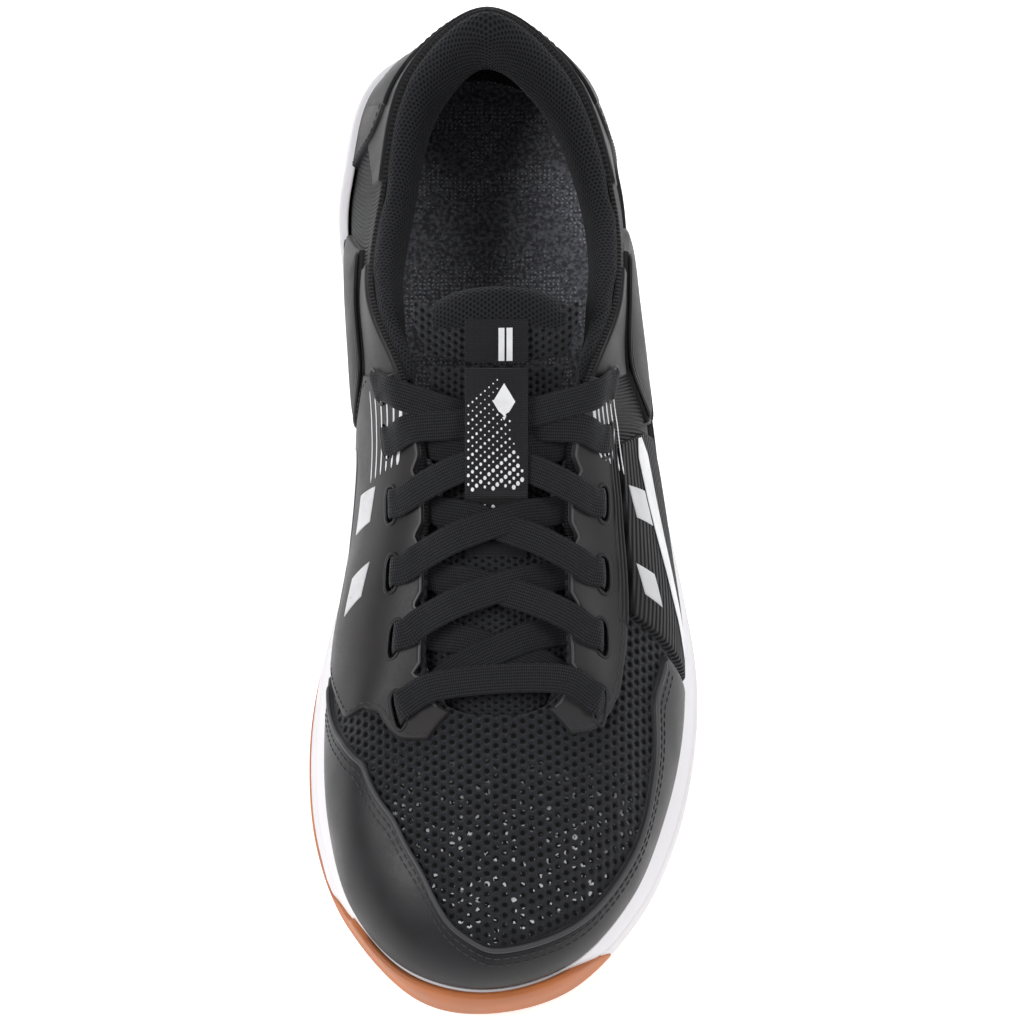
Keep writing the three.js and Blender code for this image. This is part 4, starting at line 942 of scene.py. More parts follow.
# ---- Upper: base layer and overlays ----------------------------------------------------------------
toe_edge = edge([
    (-4.5, 0.37), (-3.8, 0.45), (-3.1, 0.37), (-2.2, 0.3), (-1.2, 0.265), (0, 0.265), (0.5, 0.36),
    (0.9, 0.51), (1.4, 0.6), (2.3, 0.61), (3.2, 0.46), (4.7, 0.12),
])
medial_foot = edge([
    (1.4, 0.87), (1.9, 0.8), (2.7, 0.73), (3.15, 0.63), (3.5, 0.46), (4.1, 0.33), (4.75, 0.16),
    (4.9, 0.035), (6.3, 0.035), (7.2, 0.33), (7.6, 0.5), (8.0, 0.64),
], 0.06)
lateral_seam = flipped(edge([
    (1.6, 0.87), (2.3, 0.78), (3.3, 0.69), (4.2, 0.64), (5.4, 0.65), (6.2, 0.66), (7, 0.7), (7.95, 0.8),
]))
quarter_foot = flipped(edge([(4.6, 0.035), (6.3, 0.035), (7.2, 0.3)]))
leaf_top = edge([(7.3, 0.29), (7.6, 0.45), (8, 0.6), (8.4, 0.66), (9, 0.76), (9.5, 0.8)])
leaf_foot = edge([(7.3, 0.25), (8, 0.2), (9.5, 0.2)])
heel_half = edge([(6.6, 0.06), (7.3, 0.17), (9.5, 0.17), (10.1, 0.24), (10.6, 0.8), (12, 0.92)])


def heel_top(t):
    t = np.asarray(t, float)
    return heel_half(np.where(t < HEEL, t, COUNT - t))


def quarter_top(t):
    return np.minimum(lateral_seam(t) - 0.02, 0.36 + (7.2 + np.asarray(t)) * 1.2)


OVER, SHEET = 0.0, 1.9  # overlays start on the base layer and stand this proud of it
centre_y = last(0.0, np.linspace(0, 1, 60))
CENTRE_V = np.concatenate([[0], np.cumsum(np.linalg.norm(np.diff(centre_y, axis=0), axis=1))])


def draped(points):
    """Place of the vamp's points on its flat fabric."""
    x, y = points[..., 0], points[..., 1]
    v = np.interp(y, centre_y[:, 1], CENTRE_V) + np.clip(y - centre_y[-1, 1], 0, None)
    return np.stack([x * (1 + 0.12 * (x / 45) ** 2), v], -1)


def window_relief(place):
    at = draped(place)
    return -0.28 * np.clip(knit_relief(at[..., 0], at[..., 1], VAMP_PITCH), -0.6, 2.2)


def redrape(obj):
    lay_flat(obj.data, draped(vertices_of(obj.data) / MM))


vamp = panel("vamp_base", (-5.5, 5.5), flat(-0.02), flat(1.0), M["mesh"], height=-0.35, inner=-1.2, cell=2.5)
redrape(vamp)
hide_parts("vamp_mesh")
window = panel("vamp_window", (-4.6, 4.8), lambda t: toe_edge(t) - 0.04, flat(0.995), M["mesh"], base=-0.3,
               height=0.3, inner=-0.3, cell=0.55, relief=window_relief)
redrape(window)
medial_base = panel("medial_textile", (5.52, 11.99), flat(-0.02), flat(1.0), M["rib_knit"], height=0.0,
                    inner=-1.3)
lateral_base = panel("lateral_textile", (-11.99, -5.52), flat(-0.02), flat(1.0), M["rib_knit"], height=0.0,
                     inner=-1.3)
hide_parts("medial_quarter_textile")
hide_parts("lateral_quarter_textile")
lining = panel("heel_lining_knit", (8.2, 15.8), flat(0.01), flat(0.5), M["knit"], base=-5.2, height=0.9,
               inner=-0.4)
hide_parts("heel_lining")

toe_cap = panel("toe_cap", (-4.5, 4.7), flat(0.02), toe_edge, M["synthetic"], OVER, SHEET, rim=1.1, cell=1.6)
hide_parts("toe_overlay")
NOTCHES = (2.9, 4.4, 5.5, 6.5)


def throat_edge(t):
    """Inner edge of the eyestays: straight, with a small notch between one slot and the next."""
    t = np.abs(np.asarray(t, float))
    nearest = np.min([np.abs(t - n) for n in NOTCHES], axis=0)
    return 0.985 - 0.045 * np.clip(1 - nearest / 0.22, 0, 1)


medial_stay = panel("medial_stay", (1.4, 8.0), medial_foot, throat_edge, M["warm"], OVER, SHEET, cell=1.2)
lateral_stay = panel("lateral_stay", (-7.95, -1.6), lateral_seam, throat_edge, M["hatched"], OVER, SHEET,
                     cell=1.2)
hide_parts("medial_eyestay")
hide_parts("lateral_eyestay")
lateral_quarter = panel("lateral_ribs", (-7.15, -4.62), quarter_foot, quarter_top, M["ribbed"], OVER, SHEET)
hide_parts("lateral_quarter_panel")
leaves = []
for side, name in ((1, "medial"), (-1, "lateral")):
    span = (7.3, 9.5) if side > 0 else (-9.5, -7.3)
    turn = (lambda f: f) if side > 0 else flipped
    leaf = panel(name + "_leaf", span, turn(leaf_foot), turn(leaf_top), M["gloss"], OVER, SHEET - 0.3,
                 puff=1.6, cell=1.5)
    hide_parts(name + "_leaf_panel")
    leaves.append(leaf)
heel_panel = panel("heel_panel", (6.6, COUNT - 6.6), flat(0.02), heel_top, M["heel"], OVER, SHEET, cell=1.8)
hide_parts("heel_overlay")

saddle_foot = edge([(7.9, 0.6), (8.4, 0.68), (9.0, 0.78), (9.4, 0.86)])
for side, name in ((1, "medial"), (-1, "lateral")):
    span = (7.92, 9.3) if side > 0 else (-9.3, -7.92)
    foot = saddle_foot if side > 0 else flipped(saddle_foot)
    panel(name + "_saddle", span, foot, flat(0.985), M["warm" if side > 0 else "heel"], base=0.0, height=1.1)
back_foot = edge([
    (10.1, 0.86), (10.5, 0.55), (11.0, 0.42), (12, 0.4), (13, 0.42), (13.5, 0.55), (13.9, 0.86),
])
panel("heel_saddle", (10.1, 13.9), back_foot, flat(0.985), M["heel"], base=0.0, height=1.0)

# Lace slots: station and height on the last, toe to ankle.
MEDIAL_SLOTS = [(2.33, 0.84), (3.9, 0.82), (5, 0.79), (6.05, 0.77), (7, 0.76), (7.85, 0.79)]
LATERAL_SLOTS = [(-2.6, 0.81), (-4, 0.8), (-5, 0.79), (-6.05, 0.78), (-7, 0.77), (-7.85, 0.8)]


SLOT_HALF = 5.6  # half the length of a slot


def slot_rings():
    """Raised, rounded surrounds of the lace slots."""
    points, faces = [], []
    for t, r in MEDIAL_SLOTS + LATERAL_SLOTS:
        along, rise, out = axes(np.array(t), np.array(r))
        centre = skin(np.array(t), np.array(r), np.array(SHEET))
        start, n, m = len(points), 32, 8
        for i in range(n):
            a = 2 * math.pi * i / n
            x, y = math.cos(a), math.sin(a)
            spine = centre + along * SLOT_HALF * squared(x, 0.6) + rise * 2.3 * squared(y, 0.8)
            away = unit(along * x * 0.5 + rise * y)
            for j in range(m):
                b = 2 * math.pi * j / m
                points.append(spine + away * math.cos(b) * 0.6 + out * math.sin(b) * 0.3)
        for i in range(n):
            for j in range(m):
                k, q = (i + 1) % n, (j + 1) % m
                faces.append((start + i * m + j, start + k * m + j, start + k * m + q, start + i * m + q))
    return facing_out(make("slot_surrounds", points, faces, M["synthetic"]))


def punch_slots(obj):
    """Cuts the lace slots through a panel."""
    mesh_points, faces = [], []
    for t, r in MEDIAL_SLOTS + LATERAL_SLOTS:
        along, rise, out = axes(np.array(t), np.array(r))
        centre = last(np.array(t), np.array(r))
        start, n = len(mesh_points), 20
        for level in (-6, 6):
            for i in range(n):
                a = 2 * math.pi * i / n
                c, s = math.cos(a), math.sin(a)
                p = centre + along * SLOT_HALF * squared(c, 0.6) + rise * 1.9 * squared(s, 0.7)
                mesh_points.append(p + out * level)
        faces.append(tuple(start + i for i in range(n))[::-1])
        faces.append(tuple(start + n + i for i in range(n)))
        for i in range(n):
            k = (i + 1) % n
            faces.append((start + i, start + k, start + n + k, start + n + i))
    tool = facing_out(make("slot_tool", mesh_points, faces, M["plastic"], smooth=False, body=None))
    cut = obj.modifiers.new("slots", "BOOLEAN")
    cut.operation, cut.object, cut.solver = "DIFFERENCE", tool, "EXACT"
    done = bpy.data.meshes.new_from_object(obj.evaluated_get(bpy.context.evaluated_depsgraph_get()))
    obj.modifiers.clear()
    obj.data = done
    bpy.data.objects.remove(tool)


for stay in (medial_stay, lateral_stay):
    punch_slots(stay)
slot_rings()

# ---- Tongue ----------------------------------------------------------------------------------------
RIDGE = np.array([
    (-86, 53), (-63, 64), (-37, 74.6), (-20, 81.6), (-2, 88.8), (16.5, 97.8), (36, 111.5),
], float)
TONGUE_X, HINGE_Y = -2.5, 16.5
TONGUE_HALF = 22.5  # half the tongue's width
slopes = np.gradient(RIDGE[:, 1], RIDGE[:, 0])


def ridge(y):
    y = np.asarray(y, float)
    i = np.clip(np.searchsorted(RIDGE[:, 0], y) - 1, 0, len(RIDGE) - 2)
    h = RIDGE[i + 1, 0] - RIDGE[i, 0]
    return hermite((y - RIDGE[i, 0]) / h, h, RIDGE[i, 1], slopes[i], RIDGE[i + 1, 1], slopes[i + 1])


def tongue_point(across, y, offset, crown=8.0):
    across, y, offset = np.broadcast_arrays(*(np.asarray(v, float) for v in (across, y, offset)))
    slope = (ridge(y + 0.2) - ridge(y - 0.2)) / 0.4
    out = unit(np.stack([0 * y, -slope, np.ones_like(y)], -1))
    lift = offset - crown * (across / TONGUE_HALF) ** 2
    return np.stack([TONGUE_X + across, y, ridge(y)], -1) + out * lift[..., None]


def tongue_panel(name, y0, y1, half, thick, lift, material, body, cell=1.2, relief=None, rim=1.0, bow=None):
    """Closed padded sheet on the tongue's face; half, thick and lift are functions of Y."""
    length = (y1 - y0) * 1.15
    widest = float(np.max(half(np.linspace(y0, y1, 9)))) * 2
    a, b = spaced(length, cell, rim), spaced(widest, cell, rim)
    y = (y0 + (y1 - y0) * a)[:, None]
    across = half(y) * (2 * b - 1)[None, :]
    yy = np.broadcast_to(y, across.shape)
    if bow is not None:
        yy = yy + bow(across, yy)
    near = np.clip(1 - np.abs(yy - HINGE_Y) / 4, 0, 1)
    yy = yy + np.sign(yy - HINGE_Y) * near * (0.15 + 0.9 * (across / TONGUE_HALF) ** 2)
    inset = np.minimum(np.minimum(a, 1 - a)[:, None] * length, np.minimum(b, 1 - b)[None, :] * widest)
    rounded = np.sqrt(np.clip(1 - (1 - np.clip(inset / rim, 0, 1)) ** 2, 0, 1))
    full = thick(yy) * (1 - 0.55 * np.abs(2 * b - 1)[None, :] ** 3)
    top = lift(yy) - (1 - rounded) * full * 0.5
    cloth = np.stack([across, yy * 1.12], -1)
    if relief is not None:
        top = top + relief(across, yy) * rounded
    bottom = lift(yy) - full + (1 - rounded) * full * 0.4
    outer, under = tongue_point(across, yy, top), tongue_point(across, yy, bottom)
    points = np.concatenate([outer.reshape(-1, 3), under.reshape(-1, 3)])
    places = np.concatenate([cloth.reshape(-1, 2)] * 2)
    return facing_out(make(name, points, shell_faces(*across.shape), material, places, body=body))


def mesh_bumps(across, y):
    return -0.22 * np.clip(knit_relief(across, y * 1.12, TONGUE_PITCH), -1, 2.2)


def lower_half(y):
    spread, narrow, widen = smoothstep(y, -80, -55), smoothstep(y, -35, -15), smoothstep(y, -4, HINGE_Y)
    return TONGUE_HALF * (0.55 + 0.45 * spread - 0.33 * narrow + 0.2 * widen)


tongue = tongue_panel("tongue_body", -80, HINGE_Y - 0.4, lower_half, flat(4.5), flat(0.0), M["tongue_mesh"],
                      BODY, cell=0.6, relief=mesh_bumps)
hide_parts("tongue_lower")


def top_half(y):
    return TONGUE_HALF * (0.9 + 0.16 * smoothstep(y, 17, 27))


def ears(across, y):
    """The top edge of the tongue's mesh rises to a corner at each side and waves a little."""
    share = np.clip((y - 24) / 5, 0, 1)
    return share * (0.9 * np.abs(across / 22) ** 3 + 0.35 * np.sin(across * 0.8))


field = tongue_panel("tongue_field", HINGE_Y + 0.4, 29.0, top_half, flat(4.2),
                     lambda y: 1.2 * smoothstep(y, 17, 24), M["tongue_mesh"], FLAP, cell=0.6,
                     relief=mesh_bumps, bow=ears)


def roll_mesh():
    """The padded roll across the top of the tongue: a round bar that arches over the instep."""
    n, m = 72, 28
    points, cloth = [], []
    for i in range(n + 1):
        s = 2 * i / n - 1
        across = 0.6 + 20.5 * s
        end = math.sqrt(max(1 - abs(s) ** 6, 0.02))
        y = 30.2 - 4.6 * s * s
        for j in range(m):
            a = 2 * math.pi * j / m
            off, run = math.sin(a) * 4.0 * end, math.cos(a) * 4.6 * end
            points.append(tongue_point(across, y + run, 1.0 + off - 2.2))
            cloth.append((across, a * 4.4))
    return facing_out(make("tongue_roll", points, tube_faces(0, n + 1, m), M["roll_knit"], cloth, body=FLAP))


roll = roll_mesh()
inflate(roll, 2.5, 4.0, 1.0)
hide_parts("tongue_top")


def label_lift(y):
    return 2.6 + 0.7 * (1 - smoothstep(y, 17, 27))


label = tongue_panel("label_top", HINGE_Y + 0.4, 27.6, flat(9.0), flat(1.0), label_lift, M["label"], FLAP,
                     cell=1.0, rim=0.4)
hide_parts("tongue_label")


def keeper_lift(y):
    return np.interp(y, [-34, -27, -19.5, -17.3, -13, 3, HINGE_Y], [1.3, 1.3, 1.5, 8.0, 8.8, 8.6, 6.4])


keeper = tongue_panel("lace_keeper_strap", -34, HINGE_Y - 0.4, flat(9.0), flat(1.0), keeper_lift, M["label"],
                      BODY, cell=1.0, rim=0.4)
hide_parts("lace_keeper")

# ---- Collar padding --------------------------------------------------------------------------------
COLLAR_FROM, COLLAR_TO = 7.85, 16.15


def collar_section(t):
    inside = min(t - COLLAR_FROM, COLLAR_TO - t)
    fullness = float(0.1 + 0.2 * smoothstep(inside, 0, 0.25) + 0.42 * smoothstep(inside, 0.25, 1.15)
                     + 0.28 * smoothstep(inside, 2.05, 3.65))
    deep, rise = 12.5 * fullness, 4.2 * fullness
    one = np.array([t])
    top, out = around(TOP, one)[0], outward(TOP, one)[0]
    beside = lambda a, b: top + out * a + UP * b
    on = lambda r, off: skin(one, np.array([r]), np.array([off]))[0]
    against = -2.0
    return np.array([
        on(0.5, against), on(0.72, against), on(0.93, against), beside(-2, rise * 0.4),
        beside(-2 - deep * 0.24, rise), beside(-2 - deep * 0.54, rise * 0.75), beside(-2 - deep * 0.78, -2),
        beside(-2 - deep * 0.82, -9), on(0.68, against - deep * 0.72), on(0.5, against - deep * 0.4),
    ])


def rounded_heel(sections, stations):
    """Evens out the free side of the roll where it turns round the heel, so that it doesn't pinch."""
    reach = np.arange(-30, 31)
    weights = np.exp(-((reach / 14.0) ** 2))
    weights /= weights.sum()
    padded = np.pad(sections, ((30, 30), (0, 0), (0, 0)), mode="edge")
    even = sum(w * padded[30 + k:30 + k + len(sections)] for k, w in zip(reach, weights))
    m = sections.shape[1]
    place = np.arange(m) / m * 10
    free = smoothstep(place, 3.0, 4.6) * (1 - smoothstep(place, 8.8, 9.8))
    near = np.exp(-(((stations - 12) / 1.1) ** 2))
    share = (near[:, None] * free[None, :])[..., None]
    return sections + (even - sections) * share


def collar_mesh():
    sections, cloth = [], []
    stations = np.linspace(COLLAR_FROM, COLLAR_TO, 200)
    m = 64
    run = 0.0
    before = None
    for t in stations:
        loop = collar_section(t)
        k = np.arange(m) * len(loop) / m
        ringed = around(loop, k)
        middle = ringed.mean(0)
        if before is not None:
            run += float(np.linalg.norm(middle - before))
        before = middle
        step = np.linalg.norm(np.diff(ringed, axis=0), axis=1)
        girth = np.concatenate([[0], np.cumsum(step)])
        sections.append(ringed)
        cloth += [(run, g) for g in girth]
    points = rounded_heel(np.array(sections), stations).reshape(-1, 3)
    return facing_out(make("collar_roll", points, tube_faces(0, len(sections), m), M["knit"], cloth))


collar = collar_mesh()


def inner_side(point):
    """1 on the free side of the collar roll, 0 where it is glued to the shell."""
    reach = np.hypot(TOP[:, 0] - point[0], TOP[:, 1] - point[1]).min()
    return float(smoothstep(reach, 2, 8))


inflate(collar, 3.5, 4.0, 1.2, inner_side)
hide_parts("collar_padding")

# ---- Lace ------------------------------------------------------------------------------------------
LACE_WIDE, LACE_THICK = 8.4, 1.4
LACE_LIFT, LACE_ROOM = 0.95, 0.65
OVER_STAY, UNDER_STAY = 2.0 + LACE_LIFT + LACE_ROOM, -1.4 - LACE_LIFT - LACE_ROOM


def slot_point(slot, inboard, out, slide=0.0):
    t, r = slot
    per = 0.02 / np.linalg.norm(last(t, r + 0.01) - last(t, r - 0.01))
    there = r + inboard * per
    along, rise, normal = axes(np.array(t), np.array(there))
    p = last(t, min(there, 1)) + rise * max(there - 1, 0) / per + normal * out
    return p + along * slide, along * math.copysign(1, t)


def through_slot(slot):
    """Down through a slot from above, or up through it when reversed."""
    steps = (
        (5, OVER_STAY), (1.6, OVER_STAY - 0.1), (0, 1.4), (0, -1.2), (1.6, UNDER_STAY - 0.1), (5, UNDER_STAY),
    )
    return [slot_point(slot, inboard, out) for inboard, out in steps]


def edge_point(slot, over, towards):
    beside = (slot[0] + math.copysign(0.15, slot[0]) * towards, 0.975)
    return slot_point(beside, 0, OVER_STAY) if over else slot_point(beside, 3, UNDER_STAY - 0.4)


def crossing(start, over_start, goal, over_goal, passing):
    """Strand across the throat to a slot nearer the ankle on the other side."""
    a, b = edge_point(start, over_start, 1), edge_point(goal, over_goal, -1)
    late, crown = (2.2, 1.5) if over_goal else (1, 5.5)
    route = [a]
    for share, height in ((0.25, passing * 0.7), (0.5, passing), (0.75, passing * 0.7)):
        p = a[0] + (b[0] - a[0]) * share**late
        p[0] = a[0][0] + (b[0][0] - a[0][0]) * share
        p = p + UP * (crown * (1 - abs(2 * share - 1) ** 3) + height)
        route.append((p, a[1] + (b[1] - a[1]) * share))
    return route + [b]


def lace_half(side):
    """From the bar down through the first slot, then up through each slot, over, across and under."""
    own, other = (MEDIAL_SLOTS, LATERAL_SLOTS) if side > 0 else (LATERAL_SLOTS, MEDIAL_SLOTS)
    route = through_slot(own[0])
    final = len(own) - 1
    for row in range(final):
        start = other[row] if row % 2 else own[row]
        goal = own[row + 1] if row % 2 else other[row + 1]
        passing = 0.8 if (row + (1 if side > 0 else 0)) % 2 else -0.8
        route += crossing(start, row > 0, goal, row + 1 == final, passing)
        route += through_slot(goal)[:4] if row + 1 == final else through_slot(goal)[::-1]
    return route + lace_tail(other[final] if final % 2 else own[final])


def lace_tail(slot):
    side = math.copysign(1, slot[0])
    tail = []
    for slide, out, turn in ((0, -3.5, 0.3), (2, -7, 0.8), (7, -9, 1), (12, -9.8, 1)):
        p, _ = slot_point(slot, 0, out, -side * slide)
        along, rise, _ = axes(np.array(slot[0]), np.array(slot[1]))
        tail.append((p, along * side * (1 - turn) + rise * turn))
    return tail


def lace_mesh():
    bar = [slot_point(s[0], 12, OVER_STAY + 1) for s in (MEDIAL_SLOTS, LATERAL_SLOTS)]
    route = lace_half(1)[::-1] + bar + lace_half(-1)
    places = np.array([p for p, _ in route])
    widths = np.array([w for _, w in route])
    for i in range(1, len(widths)):
        if widths[i] @ widths[i - 1] < 0:
            widths[i] *= -1
    step = np.sqrt(np.linalg.norm(np.diff(places, axis=0), axis=1))
    knots = np.concatenate([[0], np.cumsum(step)])
    fine = np.linspace(0, knots[-1], 1500)
    p, w = smooth_curve(knots, places, fine), smooth_curve(knots, widths, fine)
    tangent = unit(np.gradient(p, axis=0))
    side = unit(w - tangent * np.sum(w * tangent, axis=1, keepdims=True))
    face = unit(np.cross(side, tangent))
    run = np.concatenate([[0], np.cumsum(np.linalg.norm(np.diff(p, axis=0), axis=1))])
    m = 22
    points, cloth = [], []
    for i in range(len(p)):
        for j in range(m):
            a = 2 * math.pi * j / m
            c, s = math.cos(a), math.sin(a)
            x = squared(c, 0.62) * LACE_WIDE / 2
            puff = 1 - 0.28 * (x / (LACE_WIDE / 2)) ** 2
            z = squared(s, 0.8) * LACE_THICK / 2 * puff
            ripple = 0.10 * math.sin(run[i] * 0.9 + x * 0.7) * math.sin(run[i] * 0.23)
            points.append(p[i] + side[i] * x + face[i] * (z + ripple))
            cloth.append((run[i], x, z))
    return facing_out(make("lace_tape", points, tube_faces(0, len(p), m), M["lace"], cloth))


def smooth_curve(knots, values, at):
    """Cubic through values at uneven knots (non-uniform Catmull-Rom)."""
    slope = np.empty_like(values)
    h = np.diff(knots)[:, None]
    d = np.diff(values, axis=0) / h
    slope[1:-1] = (d[:-1] * h[1:] + d[1:] * h[:-1]) / (h[:-1] + h[1:])
    slope[0], slope[-1] = d[0], d[-1]
    i = np.clip(np.searchsorted(knots, at, side="right") - 1, 0, len(knots) - 2)
    h = (knots[i + 1] - knots[i])[:, None]
    s = ((at - knots[i]) / (knots[i + 1] - knots[i]))[:, None]
    return hermite(s, h, values[i], slope[i], values[i + 1], slope[i + 1])


lace = lace_mesh()
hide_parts("lace")

# ---- Finishes on the CAD pieces that stay ----------------------------------------------------------
KEPT = {
    "lasting_board": "board", "toe_puff": "stiff", "heel_counter": "stiff", "heel_cushion_pad": "gel",
    "medial_aglet": "plastic", "lateral_aglet": "plastic",
}
for node, material in KEPT.items():
    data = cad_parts[node].data
    data.materials.clear()
    data.materials.append(M[material])

cup_top = edge([
    (8.3, -0.03), (8.9, 0.05), (9.6, 0.26), (10.4, 0.40), (11.1, 0.33), (11.7, 0.1), (12.2, -0.03),
])
panel("medial_sidewall", (8.3, 12.2), flat(-0.06), cup_top, M["foam"], base=SHEET - 0.4, height=2.2, rim=1.6)

# ---- Graphics: plain wedges and blocks, pinstripes, label print ------------------------------------
PRINT = SHEET + 0.02


def block(name, t0, t1, low, tall, lean, material):
    """A slanted four-sided patch welded on the side of the upper."""
    def foot(t):
        return low + lean * (np.asarray(t, float) - t0) / (t1 - t0)

    return panel(name, (t0, t1), foot, lambda t: foot(t) + tall, material, base=SHEET, height=0.22,
                 inner=-0.2, rim=0.3, cell=0.8)


medial_line = [(7.05, 0.36), (6.3, 0.27), (5.5, 0.17), (4.9, 0.10)]
lateral_line = [(-7.1, 0.50), (-6.2, 0.40), (-5.3, 0.27), (-4.75, 0.12)]
medial_wedge = strip("medial_wedge", [medial_line], M["white"], 8.0, SHEET + 0.1, taper=0.6)
lateral_wedge = strip("lateral_wedge", [lateral_line], M["white"], 8.5, SHEET + 0.1, taper=0.5)
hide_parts("medial_side_trim")
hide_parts("lateral_side_trim")
block("medial_block_front", 4.95, 5.35, 0.40, 0.17, 0.05, M["silver"])
block("medial_block_back", 5.95, 6.4, 0.42, 0.17, 0.05, M["silver"])
block("lateral_block_front", -5.35, -5.0, 0.46, 0.13, -0.05, M["silver"])
block("lateral_block_back", -6.4, -6.0, 0.48, 0.13, -0.05, M["silver"])


def fan_of_lines(outer, inner, count):
    """Lines between two given ones, each a list of (station, height) points."""
    outer, inner = np.array(outer, float), np.array(inner, float)
    shares = np.linspace(0, 1, count)
    return [[tuple(p) for p in outer + (inner - outer) * k] for k in shares]


PIN_WIDTHS, FILM = [0.55, 0.55, 0.6, 0.6, 0.7, 1.2], 0.06
medial_pins = fan_of_lines(
    [(7.8, 0.70), (7.2, 0.64), (6.45, 0.59)], [(7.55, 0.95), (7.1, 0.88), (6.6, 0.83)], len(PIN_WIDTHS)
)
lateral_pins = fan_of_lines(
    [(-7.85, 0.80), (-7.2, 0.70), (-6.5, 0.64)], [(-7.75, 0.96), (-7.2, 0.87), (-6.7, 0.80)], len(PIN_WIDTHS)
)
strip("medial_pinstripes", medial_pins, M["print"], PIN_WIDTHS, PRINT, FILM)
strip("lateral_pinstripes", lateral_pins, M["print"], PIN_WIDTHS, PRINT, FILM)
dashes = [[(8.02, 0.80), (8.25, 0.86)], [(-8.05, 0.82), (-8.3, 0.88)], [(-8.02, 0.88), (-8.15, 0.92)]]
strip("corner_dashes", dashes, M["print"], 0.9, PRINT - 1.6, FILM)


def flat_shapes(name, shapes, lift_at, body):
    """Thin printed shapes on the label: outlines in mm across and along it."""
    points, faces = [], []
    for outline in shapes:
        n, start = len(outline), len(points)
        for level in (-0.05, 0.05):
            for across, y in outline:
                points.append(tongue_point(across, y, float(lift_at(y)) + 0.06 + level))
        faces.append(tuple(start + n + k for k in range(n)))
        faces.append(tuple(start + k for k in range(n - 1, -1, -1)))
        for k in range(n):
            q = (k + 1) % n
            faces.append((start + k, start + q, start + n + q, start + n + k))
    return facing_out(make(name, points, faces, M["print"], smooth=False, body=body))


def dot(across, y, size):
    return [(across + math.cos(a) * size, y + math.sin(a) * size * 1.15) for a in np.arange(10) * math.pi / 5]


def dot_rows():
    """Slanted rows of dots that shrink and thin out up the label and to one side."""
    shapes = []
    for row in range(15):
        for k in range(14):
            across = -8.0 + 1.18 * k
            y = -27.0 + row * 2.35 + 1.0 * k
            fade = row / 15 + 0.55 * k / 14 * (row > 4)
            in_fold = -20.6 < y < -16.6
            if in_fold or y > 13 or across > 8.2 - row * 0.55:
                continue
            size = (0.56 if row % 2 == 0 else 0.40) * (1 - 0.55 * fade)
            shapes.append(dot(across, y, max(size, 0.16)))
    return shapes


flat_shapes("label_dots", dot_rows(), keeper_lift, BODY)
rhombus = [[(2.2, 2.0), (5.4, 7.0), (2.2, 12.0), (-1.0, 7.0)]]
flat_shapes("label_rhombus", rhombus, keeper_lift, BODY)
bar = [
    [(x, y), (x + 1.7, y), (x + 1.7, y + 1.02), (x, y + 1.02)]
    for x in (0.6, 2.9) for y in np.arange(17.6, 25.5)
]
flat_shapes("label_bar", bar, label_lift, FLAP)

# ---- Stitching and edge details --------------------------------------------------------------------
stitch_rows(
    "toe_stitches",
    [curve_line(toe_edge, -4.3, 4.2, -3.2, 200), curve_line(toe_edge, -4.3, 4.2, -5.4, 200)],
    M["thread"], SHEET + 0.05, 2.5,
)
# The toe edge band's lighter grey is a painted highlight along the toe cap's edge.
piping("toe_edge_band", [curve_line(toe_edge, -4.42, 4.55, -0.9, 200)], M["edge"], 0.75, SHEET - 0.25)
stitch_rows(
    "eyestay_stitches",
    [curve_line(medial_foot, 1.55, 4.6, 2.2, 120), curve_line(lateral_seam, -4.5, -1.75, 2.4, 100)],
    M["thread"], SHEET + 0.05, 2.3,
)
leaf_lines = []
for side in (1, -1):
    top_curve = leaf_top if side > 0 else flipped(leaf_top)
    foot_curve = leaf_foot if side > 0 else flipped(leaf_foot)
    ends = (7.35, 9.45) if side > 0 else (-9.45, -7.35)
    leaf_lines += [curve_line(top_curve, *ends, -0.6, 80), curve_line(top_curve, *ends, -2.4, 80)]
    leaf_lines.append(curve_line(foot_curve, *ends, 0.6, 60))
piping("leaf_piping", leaf_lines, M["heel"], 0.65, SHEET)
seam_lines = [curve_line(lateral_seam, -7.1, -4.4, shift, 120) for shift in (0.7, 2.1, 3.5)]
piping("seam_ridges", seam_lines, M["synthetic"], 0.42, SHEET - 0.05)
edge_lines = []
for side in (1, -1):
    line = [(side * t, float(throat_edge(t)) - 0.012) for t in np.linspace(1.75, 7.75, 260)]
    edge_lines.append(line)
# The throat edges' lighter grey is a painted highlight along the eyestays' inner edges.
strip("throat_edges", edge_lines, M["edge"], 0.8, SHEET, 0.16)
stitch_rows("stay_side_stitches", [[(7.3, 0.36), (7.5, 0.45), (7.75, 0.56), (7.9, 0.66)]], M["thread"],
            SHEET + 0.05, 2.3)
for side, name in ((1, "medial"), (-1, "lateral")):
    lo, hi = (10.75, 11.3) if side > 0 else (-11.3, -10.75)
    panel(name + "_heel_strip", (lo, hi), flat(0.46), flat(0.84), M["gloss"], base=SHEET - 0.3, height=0.6,
          puff=0.5)
panel("flag_tab", (-9.42, -9.2), flat(0.36), flat(0.55), M["grey"], base=0.1, height=0.7, rim=0.4, cell=0.8)
heel_rows = []
for side in (1, -1):
    heel_rows.append([(side * 10.2, 0.3), (side * 10.55, 0.72), (side * 11.2, 0.83), (side * 11.95, 0.87)])
stitch_rows("heel_stitches", heel_rows, M["thread"], SHEET + 0.05, 2.3)

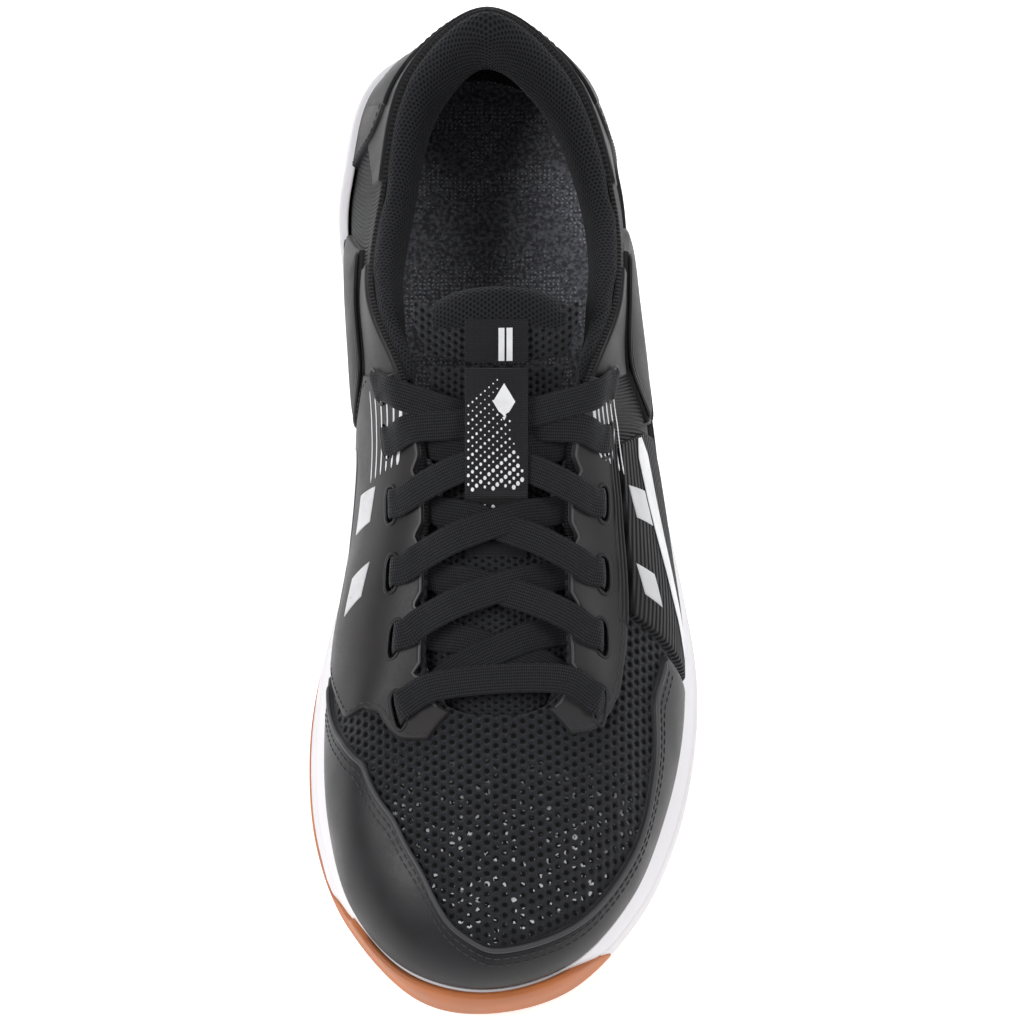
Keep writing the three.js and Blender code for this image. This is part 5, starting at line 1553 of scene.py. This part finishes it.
# ---- Floor, light and camera -----------------------------------------------------------------------
floor_material = Shader("pale_floor", (0.93, 0.93, 0.93), 0.9)
floor_material.set(**{"Emission Color": (1, 1, 1, 1), "Emission Strength": 0.62})
floor_material.bump(floor_material.noise(floor_material.space(), 40), 0.02, 0.1)
bpy.ops.mesh.primitive_plane_add(size=8, location=(0, 0, -0.0005))
floor = bpy.context.object
floor.name = "floor"
floor.data.materials.append(floor_material.material)

world = bpy.data.worlds.new("studio")
bpy.context.scene.world = world
world.use_nodes = True
background = world.node_tree.nodes["Background"]
background.inputs["Color"].default_value = (1, 1, 1, 1)
background.inputs["Strength"].default_value = 0.24


def lamp(name, place, target, size, power):
    data = bpy.data.lights.new(name, "AREA")
    data.shape, data.size, data.energy = "DISK", size, power
    obj = bpy.data.objects.new(name, data)
    obj.location = place
    obj.rotation_euler = (Vector(target) - Vector(place)).to_track_quat("-Z", "Y").to_euler()
    bpy.context.scene.collection.objects.link(obj)


lamp("key", (-1.2, -0.5, 1.5), (0, -0.02, 0.05), 0.9, 22)
lamp("fill", (1.3, -0.2, 1.4), (0, 0, 0.05), 0.9, 12)
lamp("back", (0.1, 1.4, 0.9), (0, 0, 0.05), 0.7, 8)

AZIMUTH, ELEVATION, ROLL = math.radians(-0.72), math.radians(66.10), math.radians(0.69)
DISTANCE, LENS = 2.805, 339.0
aim = np.array([0, 0, 40.0])
back = np.array([
    math.sin(AZIMUTH) * math.cos(ELEVATION), -math.cos(AZIMUTH) * math.cos(ELEVATION), math.sin(ELEVATION)
])
right = np.array([math.cos(AZIMUTH), math.sin(AZIMUTH), 0])
up = np.cross(back, right)
turned_right = right * math.cos(ROLL) + up * math.sin(ROLL)
turned_up = -right * math.sin(ROLL) + up * math.cos(ROLL)
target = (aim + 2.24 * turned_right - 3.84 * turned_up) * MM
eye = target + back * DISTANCE
camera_data = bpy.data.cameras.new("photo_view")
camera_data.lens, camera_data.sensor_width = LENS, 36
camera_data.clip_end = 30
camera = bpy.data.objects.new("photo_view", camera_data)
camera.matrix_world = Matrix.Translation(Vector(eye)) @ Matrix(
    [[turned_right[i], turned_up[i], back[i]] for i in range(3)]
).to_4x4()
bpy.context.scene.collection.objects.link(camera)
bpy.context.scene.camera = camera
bpy.context.scene.view_settings.view_transform = "Standard"
